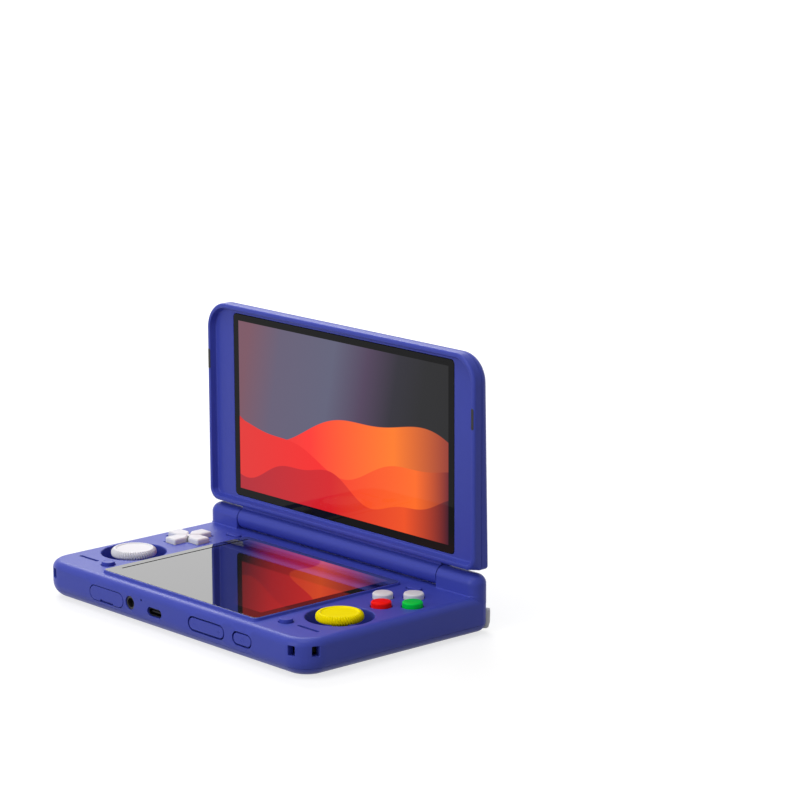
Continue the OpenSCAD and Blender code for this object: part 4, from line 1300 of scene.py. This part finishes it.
    def knuckle(self, inner_x):
        """Hinge knuckle from inner_x outwards: walls under a half round, closed by a round end.

        The section at x is the wall, half circle, wall of half width w(x); w follows a quarter
        circle over the outer end and a small rounding at the inner one. A flare at the foot
        blends the front wall into the deck.
        """
        end = HALF_W - KNUCKLE_R
        inner = np.radians(np.linspace(0, 90, 6))
        outer = np.radians(np.linspace(0, 90, 25))
        x = np.concatenate([inner_x + 0.5 * (1 - np.cos(inner)), end + KNUCKLE_R * np.sin(outer)])
        w = np.concatenate([KNUCKLE_R - 0.5 * (1 - np.sin(inner)), KNUCKLE_R * np.cos(outer)])
        half = np.radians(np.linspace(180, 0, 41))
        foot, turn = 0.5, np.radians(np.linspace(0, 90, 7))
        low = np.append(LEDGE_Z - 3, DECK_Z + foot * (1 - np.cos(turn)))
        rear_low = np.array([20.5, 17.0, TOP_EDGE_Z + 0.4, TOP_EDGE_Z - 0.02])
        flare = foot - np.sqrt(foot**2 - (foot - np.clip(low - DECK_Z, 0, foot)) ** 2)
        w_, x_ = w[:, None], x[:, None]
        front = np.stack([x_ + 0 * low, HINGE_Y - w_ - flare * (w_ / KNUCKLE_R), low + 0 * x_], -1)
        rise = HINGE_Z + KNUCKLE_FLAT * w_ * np.sin(half)
        over = np.stack([x_ + 0 * half, HINGE_Y + w_ * np.cos(half), rise], -1)
        rear = np.stack([x_ + 0 * rear_low, HINGE_Y + w_ + 0 * rear_low, rear_low + 0 * x_], -1)
        grid = np.concatenate([front, over, rear], 1)
        skin = Skin()
        skin.loft(grid, closed=False)
        skin.cover(grid[0, :, 1:], lambda p: np.column_stack([np.full(len(p), x[0]), p]), flip=True)
        return skin


def exhaust_loop(i, low=1.0):
    """Outline of one exhaust slot in (s, z), running out below."""
    s = BASE.rear((i - (SLOT_COUNT - 1) / 2) * SLOT_PITCH)
    top = SLOT_TOP - SLOT_W / 2
    ends = [[s - SLOT_W / 2, low], [s + SLOT_W / 2, low]]
    return np.concatenate([ends, arc(s, top, SLOT_W / 2, 0, 180, 12)])


def shoulder_loop(g):
    """Outline of a shoulder button in (s, z), or of its window where g is the gap round it.

    The upper edge sweeps down inwards along a circle about (sweep_x, sweep_z) in (x, z), and
    drops at both ends by r (1 - sqrt(1 - (1 - t)^2)), where t is the distance from the end over r.
    """
    sweep_x, sweep_z, sweep_r = 78.5, 49.2, 39.6
    outer_gap, upper_gap = (0.9, 0.7) if g else (0.0, 0.0)
    s0 = BASE.rear(SHOULDER_INNER_X) + g
    s1 = BASE.s[1] + REAR_R * math.radians(49) - outer_gap
    s = np.linspace(s1, s0, 30)
    x = BASE.plan(s)[0][:, 0]
    top = sweep_z - np.sqrt(sweep_r**2 - (x - sweep_x) ** 2) + upper_gap
    low, r = 1.7 - g, 0.9
    lower = [arc(s0 - r, low + r, r, 0, -90, 6), arc(s1 + r, low + r, r, 270, 180, 6)]
    a = np.clip((s - s1) / r, 0, 1)
    b = np.clip((s0 - s) / r, 0, 1)
    round_off = r * (2 - np.sqrt(1 - (1 - a) ** 2) - np.sqrt(1 - (1 - b) ** 2))
    upper = np.column_stack([s, top - round_off])
    return np.concatenate([np.concatenate(lower)[::-1], upper[::-1]])


def trigger_loop(g):
    """Outline of a trigger in (s, z), grown by g."""
    s0, s1 = float(BASE.rear(TRIGGER_X[1])), float(BASE.rear(TRIGGER_X[0]))
    return rounded_rect(s0 - g, s1 + g, 1.8 - g, 9.0 + g, 1.4, n=8)


class CONSOLE_OT_base_lower_case(bpy.types.Operator):
    """Lower case of the base: rounded band, underside, slots, recesses"""

    bl_idname = "console.base_lower_case"
    bl_label = "Base lower case"

    def execute(self, context):
        skin = Skin()
        self.band(skin)
        self.underside(skin)
        nodes = ["base_bottom_cover"]
        skin.object("base_lower_case", MATERIALS["shell"], "base", nodes, "shell")
        return {"FINISHED"}

    def band(self, skin):
        """Rounded wall from the underside up to the seam, a part of the base's wall S(s, z)."""
        columns = base_columns()
        top = PART_Z - SEAM
        last = math.degrees(math.acos(1 - (top - UNDER_Z) / FRONT_EDGE_R))
        rows = UNDER_Z + FRONT_EDGE_R * (1 - np.cos(np.radians(np.linspace(0, last, 10))))
        rows[-1] = top
        cut = [exhaust_loop(i, 0.0) for i in range(SLOT_COUNT)]
        for loop in (shoulder_loop(SHOULDER_GAP), trigger_loop(TRIGGER_GAP)):
            cut += [loop, opposite(loop)]
        rim, inner = unrolled(columns, rows)
        skin.cover(rim, lambda p: BASE.at(p[:, 0], p[:, 1]), cut, inner)
        lip = [BASE.at(columns, np.full(len(columns), top), g) for g in (0, -1.2)]
        skin.loft(lip, closed=False)

    def underside(self, skin):
        """Level floor with recesses for the feet, screw holes and the blower's intake."""
        under = Skin()
        columns = base_columns()[:-1]
        rim = BASE.at(columns, np.full(len(columns), UNDER_Z))[::-1, :2] * (1, -1)
        cut = []
        for side in (-1, 1):
            for x, y in FOOT_SPOTS:
                foot = pill(side * x, -y, 16.4, 6.4)
                cut.append(deck_opening(under, foot, 1.4, 0.1, -UNDER_Z))
            for x, y in SCREW_SPOTS:
                hole = circle(side * x, -y, 2.1, 40)
                cut.append(deck_opening(under, hole, 1.5, 0.2, -UNDER_Z))
        for i in range(-4, 5):
            slot = pill(-20, i * 3.2, 22, 1.6)[::-1, ::-1]
            cut.append(deck_opening(under, slot, 1.6, 0.2, -UNDER_Z))
        for i in range(SLOT_COUNT):
            x = (i - (SLOT_COUNT - 1) / 2) * SLOT_PITCH
            cut.append(rounded_rect(x - SLOT_W / 2, x + SLOT_W / 2, -60, -43, 0.01, n=1))
        under.cover(rim, level(-UNDER_Z), cut)
        under.points = [facing_down(p) for p in under.points]
        skin.add(under)


class CONSOLE_OT_displays(bpy.types.Operator):
    """Cover glasses of both displays"""

    bl_idname = "console.displays"
    bl_label = "Display glasses"

    def execute(self, context):
        x, y0, y1 = GLASS_HIGH[0], GLASS_LOW[1], GLASS_HIGH[1]
        steps = edge_steps(GLASS_LOW[2], GLASS_HIGH[2], 0, 0.04)
        lower = slab(rounded_rect(-x, x, y0, y1, 2.0), steps)
        finish = MATERIALS["lower_glass"]
        lower.object("lower_cover_glass", finish, "base", ["lower_glass"], "display_glass")
        x0, x1, y0, y1 = PRINTED_LINE
        steps = [(0, GLASS_HIGH[2] - 0.05), (0, GLASS_HIGH[2] + 0.02)]
        line = slab(rounded_rect(x0, x1, y0, y1, 0.1, n=2), steps)
        line.object("printed_line", MATERIALS["print"], "base", [], "display_glass")
        x, z0, z1 = UPPER_HIGH[0], UPPER_LOW[2], UPPER_HIGH[2]
        steps = edge_steps(-UPPER_HIGH[1], -UPPER_LOW[1], 0, 0.15)
        upper = slab(rounded_rect(-x, x, z0, z1, 2.0), steps, facing_front)
        finish = MATERIALS["upper_glass"]
        upper.object("upper_cover_glass", finish, "lid", ["upper_glass"], "display_glass")
        return {"FINISHED"}


def stick_cap(x):
    """Cap as r(h, t): a lathe profile less d w (0.5 - 0.5 cos(n (t + k h))) on its side.

    n ribs of depth d lean by k. Their weight w is 1 on the side and fades over the shoulder,
    which is a superellipse of power 2.4. Inside the ring at its top the dish sinks by 0.15.
    """
    top, foot, radius, ring = 19.2, 15.6, 10.3, 8.3
    ribs, depth, lean = 52, 0.85, 0.04
    a = np.linspace(0, QUARTER, 24)
    power = 2 / 2.4
    across = ring + (radius - ring) * np.cos(a) ** power
    up = foot + 1.4 + (top - foot - 1.4) * np.sin(a) ** power
    dish = np.linspace(1, 0.1, 9)
    profile = np.concatenate(
        [
            [[1.9, foot - 3], [3.4, foot - 3], [3.4, foot], [8.2, foot], [8.9, foot + 0.02]],
            arc(radius - 1.3, foot + 1.3, 1.3, -75, -6, 8),
            np.column_stack([across, up]),
            arc(ring - 0.12, top - 0.1, 0.1, 80, 170, 3),
            np.column_stack([(ring - 0.5) * dish, top - 0.36 - 0.15 * (1 - dish**2)]),
        ]
    )
    t = np.linspace(0, 2 * math.pi, ribs * 10, endpoint=False)
    r, h = profile[:, :1], profile[:, 1:]
    side = np.clip((r - 8.5) / 0.5, 0, 1) * np.clip((top + 0.02 - h) / 0.35, 0, 1)
    wave = 0.5 - 0.5 * np.cos(ribs * (t + lean * (h - foot)))
    r = r - depth * side * wave
    rings = np.stack([r * np.cos(t), r * np.sin(t), h + 0 * t], -1)
    skin = Skin().loft(rings + (x, STICK_Y, 0))
    middle = rings[-1][:, :2] + (x, STICK_Y)
    skin.cover(middle, level(profile[-1, 1]))
    return skin


class CONSOLE_OT_stick_caps(bpy.types.Operator):
    """Ribbed caps of the two sticks"""

    bl_idname = "console.stick_caps"
    bl_label = "Stick caps"

    def execute(self, context):
        for side, name, finish, slot in (
            (-1, "left", "light", "light_keys"), (1, "right", "yellow", "yellow_cap")
        ):
            cap = stick_cap(side * STICK_X)
            nodes = [name + "_stick_cap"]
            cap.object(name + "_cap", MATERIALS[finish], name + "_stick", nodes, slot, 70)
        return {"FINISHED"}


class CONSOLE_OT_direction_pad(bpy.types.Operator):
    """Direction pad with four bevelled arms"""

    bl_idname = "console.direction_pad"
    bl_label = "Direction pad"

    def execute(self, context):
        top = DECK_Z + 2.2
        steps = [(0.0, 13.6), (0.0, top - 0.72), (-0.06, top - 0.55), (-0.36, top - 0.14)]
        steps += [(-0.46, top - 0.04), (-0.6, top)]
        skin = Skin()
        for a in (0, 90, 180, 270):
            skin.add(slab(turned(lobe(0), a) + (-PAD_X, PAD_Y), steps))
        hub = edge_steps(13.5, top - 0.3, 0, 0.3)
        skin.add(slab(circle(-PAD_X, PAD_Y, 1.3, 32), hub))
        skin.object("direction_pad", MATERIALS["light"], "dpad", ["dpad"], "light_keys")
        return {"FINISHED"}


class CONSOLE_OT_face_buttons(bpy.types.Operator):
    """Four face buttons with softly domed tops"""

    bl_idname = "console.face_buttons"
    bl_label = "Face buttons"

    def execute(self, context):
        for name, angle, finish, slot in (
            ("east", 0, "green", "green_key"),
            ("north", 90, "light", "light_keys"),
            ("west", 180, "light", "light_keys"),
            ("south", 270, "red", "red_key"),
        ):
            skin = self.button((*face_key_spot(angle), 0))
            skin.object(name + "_key", MATERIALS[finish], name + "_key", [name + "_button"], slot)
        return {"FINISHED"}

    def button(self, place):
        """Lathe: flange, straight side, rounded edge, then a dome h = top - drop (r / R)^2."""
        radius, top, edge, drop = FACE_KEY_R, DECK_Z + 2.4, 0.8, 0.14
        r = np.linspace(radius - edge, 0.35, 8)
        dome = np.column_stack([r, top - drop * (r / (radius - edge)) ** 2])
        side = arc(radius - edge, top - drop - edge, edge, 0, 78, 9)
        flange, flange_z = radius + 0.9, KEY_FOOT_Z + 0.8
        foot = [[flange, KEY_FOOT_Z], [flange, flange_z], [radius, flange_z]]
        profile = np.concatenate([foot, side, dome])
        skin = Skin().loft(lathe(profile, place, n=72))
        skin.cover(circle(place[0], place[1], 0.35, 72), level(dome[-1, 1]))
        return skin


class CONSOLE_OT_small_keys(bpy.types.Operator):
    """Round keys beside the lower display and oblong keys near the hinge"""

    bl_idname = "console.small_keys"
    bl_label = "Small keys"

    def execute(self, context):
        shell = MATERIALS["shell"]
        for side, *names in ((-1, "select", "left_menu"), (1, "start", "right_menu")):
            for name, key in zip(names, (self.round_key(side), self.oblong_key(side))):
                key.object(name + "_disc", shell, name + "_key", [name + "_button"], "shell")
        return {"FINISHED"}

    def oblong_key(self, side):
        """Pill with a rounded edge."""
        outline = pill(side * OBLONG_KEY[0], OBLONG_KEY[1], *OBLONG_SIZE)
        return slab(outline, edge_steps(KEY_FOOT_Z, DECK_Z + 0.8, 0, 0.4))

    def round_key(self, side):
        """Disc with a rounded edge, a narrow flat rim and a shallow dimple inside it."""
        outline = circle(side * ROUND_KEY[0], ROUND_KEY[1], ROUND_KEY_R, 48)
        top, edge, inner, slope, dimple = DECK_Z + 1.5, 0.22, 0.62, 0.1, 0.08
        wall = edge_steps(KEY_FOOT_Z, top, 0, edge)
        rim = ((-edge, top), (-inner, top), (-inner - slope, top - dimple))
        skin = Skin()
        for steps in (wall, rim):
            skin.loft([raised(grown(outline, g), z) for g, z in steps])
        return skin.cover(grown(outline, -inner - slope), level(top - dimple))


class CONSOLE_OT_shoulder_keys(bpy.types.Operator):
    """Shoulder buttons round the rear corners and the triggers beside them"""

    bl_idname = "console.shoulder_keys"
    bl_label = "Shoulder keys"

    def execute(self, context):
        light = MATERIALS["light"]
        for name, loops in (
            ("right", [shoulder_loop(0.0), trigger_loop(0.0)]),
            ("left", [opposite(shoulder_loop(0.0)), opposite(trigger_loop(0.0))]),
        ):
            key = proud_key(loops[0], 1.9, 0.5)
            nodes = [name + "_shoulder"]
            key.object(name + "_shoulder_cap", light, name + "_shoulder_key", nodes, "light_keys")
            key = proud_key(loops[1], 1.99, 0.7)
            nodes = [name + "_trigger"]
            key.object(name + "_trigger_cap", light, name + "_trigger_key", nodes, "light_keys")
        return {"FINISHED"}


class CONSOLE_OT_front_keys(bpy.types.Operator):
    """Card cover, volume rocker and power button in the front wall"""

    bl_idname = "console.front_keys"
    bl_label = "Front keys"

    def execute(self, context):
        shell = MATERIALS["shell"]
        face = -FRONT_Y
        cover = pill(*CARD_SPOT, 23.5, 6.3)
        notch = [[-47.2, 6.15], [-47.2, 7.05], [-38.0, 7.05], [-38.0, 6.15]]
        steps = edge_steps(face - 1, face, 0, 0.15)
        card = slab(np.concatenate([cover, notch]), steps, facing_front)
        card.add(slab(cover, edge_steps(face - 1.8, face - 1, 0, 0), facing_front))
        card.object("card_flap_cover", shell, "card_flap", ["card_cover"], "shell")
        face -= 0.1
        steps = edge_steps(face - 3.4, face, 0, 0.3)
        volume = slab(pill(*VOLUME_SPOT, 22.9, 5.2), steps, facing_front)
        mark = edge_steps(face - 0.2, face + 0.06, 0, 0.05, 2)
        z = VOLUME_SPOT[1]
        for x, w, h in ((18.4, 2.0, 0.4), (34.6, 2.0, 0.4), (34.6, 0.4, 2.0)):
            bar = rounded_rect(x - w / 2, x + w / 2, z - h / 2, z + h / 2, 0.08, n=2)
            volume.add(slab(bar, mark, facing_front))
        volume.object("volume_key_cap", shell, "volume_key", ["volume_rocker"], "shell")
        steps = edge_steps(face - 3, face, 0, 0.35)
        power = slab(pill(*POWER_SPOT, 11.4, 4.8), steps, facing_front)
        x, z = POWER_SPOT[0], 9.8
        ring = np.concatenate([arc(x, z, 1.05, 120, 420, 30), arc(x, z, 0.75, 420, 120, 30)])
        power.add(slab(ring, mark, facing_front))
        stroke = rounded_rect(50.05, 50.35, 9.9, 11.2, 0.08, n=2)
        power.add(slab(stroke, mark, facing_front))
        power.object("power_key_cap", shell, "power_key", ["power_button"], "shell")
        return {"FINISHED"}


# Lid: its edges and outlines in (x, z), and its levels along -Y
LID_EDGES = (LID_LOW[0], LID_HIGH[0], LID_LOW[2], LID_HIGH[2])
LID_OUTLINE = rounded_rect(*LID_EDGES, 5.6, 12.7, n=20)
BACK_OUTLINE = rounded_rect(*LID_EDGES, 1.6, 12.7, n=20)
LID_FRONT = -LID_LOW[1]
LID_FACE = -UPPER_LOW[1]
LID_PART = LID_FACE - 1.4


class CONSOLE_OT_lid_frame(bpy.types.Operator):
    """Front frame of the lid with its raised rim"""

    bl_idname = "console.lid_frame"
    bl_label = "Lid frame"

    def execute(self, context):
        skin = Skin()
        front, face = LID_FRONT, LID_FACE
        edge, bead, rim, wall, foot = 1.2, 0.45, 2.2, 2.8, 0.7
        steps = [(-1.2, LID_PART), (-0.15, LID_PART), (0.0, LID_PART + 0.15)]
        steps += [(-edge * (1 - math.cos(t)), front - edge * (1 - math.sin(t)))
                  for t in np.radians(np.linspace(0, 90, 9))]
        steps += [(bead * (1 - math.sin(t)) - rim, front - bead * (1 - math.cos(t)))
                  for t in np.radians(np.linspace(0, 75, 7))]
        steps += [(foot * (math.cos(t) - 1) - wall, face + foot * (1 - math.sin(t)))
                  for t in np.radians(np.linspace(15, 90, 7))]
        outlines = [BACK_OUTLINE] * 3 + [LID_OUTLINE] * (len(steps) - 3)
        rings = [facing_front(raised(grown(line, g), h)) for line, (g, h) in zip(outlines, steps)]
        skin.loft(rings)
        x, z0, z1 = UPPER_HIGH[0] + 0.15, UPPER_LOW[2] - 0.15, UPPER_HIGH[2] + 0.15
        seat = Skin()
        cut = deck_opening(seat, rounded_rect(-x, x, z0, z1, 2.1), 0.85, 0.25, face)
        seat.cover(grown(LID_OUTLINE, steps[-1][0]), level(face), [cut])
        seat.points = [facing_front(p) for p in seat.points]
        skin.add(seat)
        skin.object("lid_frame", MATERIALS["shell"], "lid", ["lid_front_frame"], "shell")
        self.bumpers()
        return {"FINISHED"}

    def bumpers(self):
        """Soft stops that stand a little proud of the rim."""
        skin = Skin()
        for side in (-1, 1):
            outline = pill(95.2, side * 87.95, 9.5, 1.5)[::-1, ::-1]
            steps = edge_steps(LID_FRONT - 2.6, LID_FRONT + 0.1, 0, 0.3)
            skin.add(slab(outline, steps, facing_front))
        skin.object("rim_bumpers", MATERIALS["rubber"], "lid", ["lid_bumpers"], "soft_rubber")


class CONSOLE_OT_lid_back(bpy.types.Operator):
    """Back cover of the lid, rounded all round"""

    bl_idname = "console.lid_back"
    bl_label = "Lid back"

    def execute(self, context):
        part, back = -LID_PART + SEAM, BACK_HIGH[1]
        round_r = np.interp(BACK_OUTLINE[:, 1], [34.0, 109.8], [1.5, 4.1])
        g = round_r[:, None]
        steps = [(-1.2, part), (-0.15, part), (0.0, part + 0.15)]
        steps += [(-g * (1 - math.cos(t)), back - round_r * (1 - math.sin(t)))
                  for t in np.radians(np.linspace(0, 90, 13))]
        skin = slab(BACK_OUTLINE, steps, facing_back, closed_below=False)
        skin.object("lid_back", MATERIALS["shell"], "lid", ["lid_back_cover"], "shell")
        return {"FINISHED"}


class CONSOLE_OT_hinge_barrel(bpy.types.Operator):
    """Barrel between the knuckles with its neck up to the lid"""

    bl_idname = "console.hinge_barrel"
    bl_label = "Hinge barrel"

    def execute(self, context):
        radius, neck_y, back_y = 4.8, 45.4, 51.5
        top = LID_LOW[2] - 0.05
        a0 = 180 - math.degrees(math.acos((HINGE_Y - neck_y) / radius))
        a1 = 360 + math.degrees(math.acos((back_y - HINGE_Y) / radius))
        outline = np.concatenate(
            [arc(HINGE_Y, HINGE_Z, radius, a0, a1, 72), [[back_y, top], [neck_y, top]]]
        )
        steps = edge_steps(BARREL_LOW[0], BARREL_HIGH[0], 0.3, 0.3, 4)
        skin = slab(outline, steps, along_x)
        skin.object("hinge_barrel_cover", MATERIALS["shell"], "lid", ["hinge_barrel"], "shell")
        return {"FINISHED"}


CLASSES = [
    ConsoleLook,
    ConsoleStage,
    CONSOLE_OT_stage,
    CONSOLE_OT_finishes,
    CONSOLE_OT_base_upper_case,
    CONSOLE_OT_base_lower_case,
    CONSOLE_OT_displays,
    CONSOLE_OT_stick_caps,
    CONSOLE_OT_direction_pad,
    CONSOLE_OT_face_buttons,
    CONSOLE_OT_small_keys,
    CONSOLE_OT_shoulder_keys,
    CONSOLE_OT_front_keys,
    CONSOLE_OT_lid_frame,
    CONSOLE_OT_lid_back,
    CONSOLE_OT_hinge_barrel,
]


class CONSOLE_PT_panel(bpy.types.Panel):
    """Lists the pieces in the sidebar"""

    bl_idname = "CONSOLE_PT_panel"
    bl_label = "Game console"
    bl_space_type = "VIEW_3D"
    bl_region_type = "UI"
    bl_category = "Console"

    def draw(self, context):
        """One button for each operator."""
        for cls in CLASSES:
            if issubclass(cls, bpy.types.Operator):
                self.layout.operator(cls.bl_idname)


def register():
    """Registers the classes and puts their settings on the scene."""
    for cls in [*CLASSES, CONSOLE_PT_panel]:
        bpy.utils.register_class(cls)
    bpy.types.Scene.console_look = PointerProperty(type=ConsoleLook)
    bpy.types.Scene.console_stage = PointerProperty(type=ConsoleStage)


def unregister():
    """Takes the settings and the classes away again."""
    del bpy.types.Scene.console_stage
    del bpy.types.Scene.console_look
    for cls in reversed([*CLASSES, CONSOLE_PT_panel]):
        bpy.utils.unregister_class(cls)


def main():
    """Makes the stage and every piece in order."""
    register()
    bpy.ops.console.stage()
    bpy.ops.console.finishes()
    bpy.ops.console.base_upper_case()
    bpy.ops.console.base_lower_case()
    bpy.ops.console.displays()
    bpy.ops.console.stick_caps()
    bpy.ops.console.direction_pad()
    bpy.ops.console.face_buttons()
    bpy.ops.console.small_keys()
    bpy.ops.console.shoulder_keys()
    bpy.ops.console.front_keys()
    bpy.ops.console.lid_frame()
    bpy.ops.console.lid_back()
    bpy.ops.console.hinge_barrel()


if __name__ == "__main__":
    main()
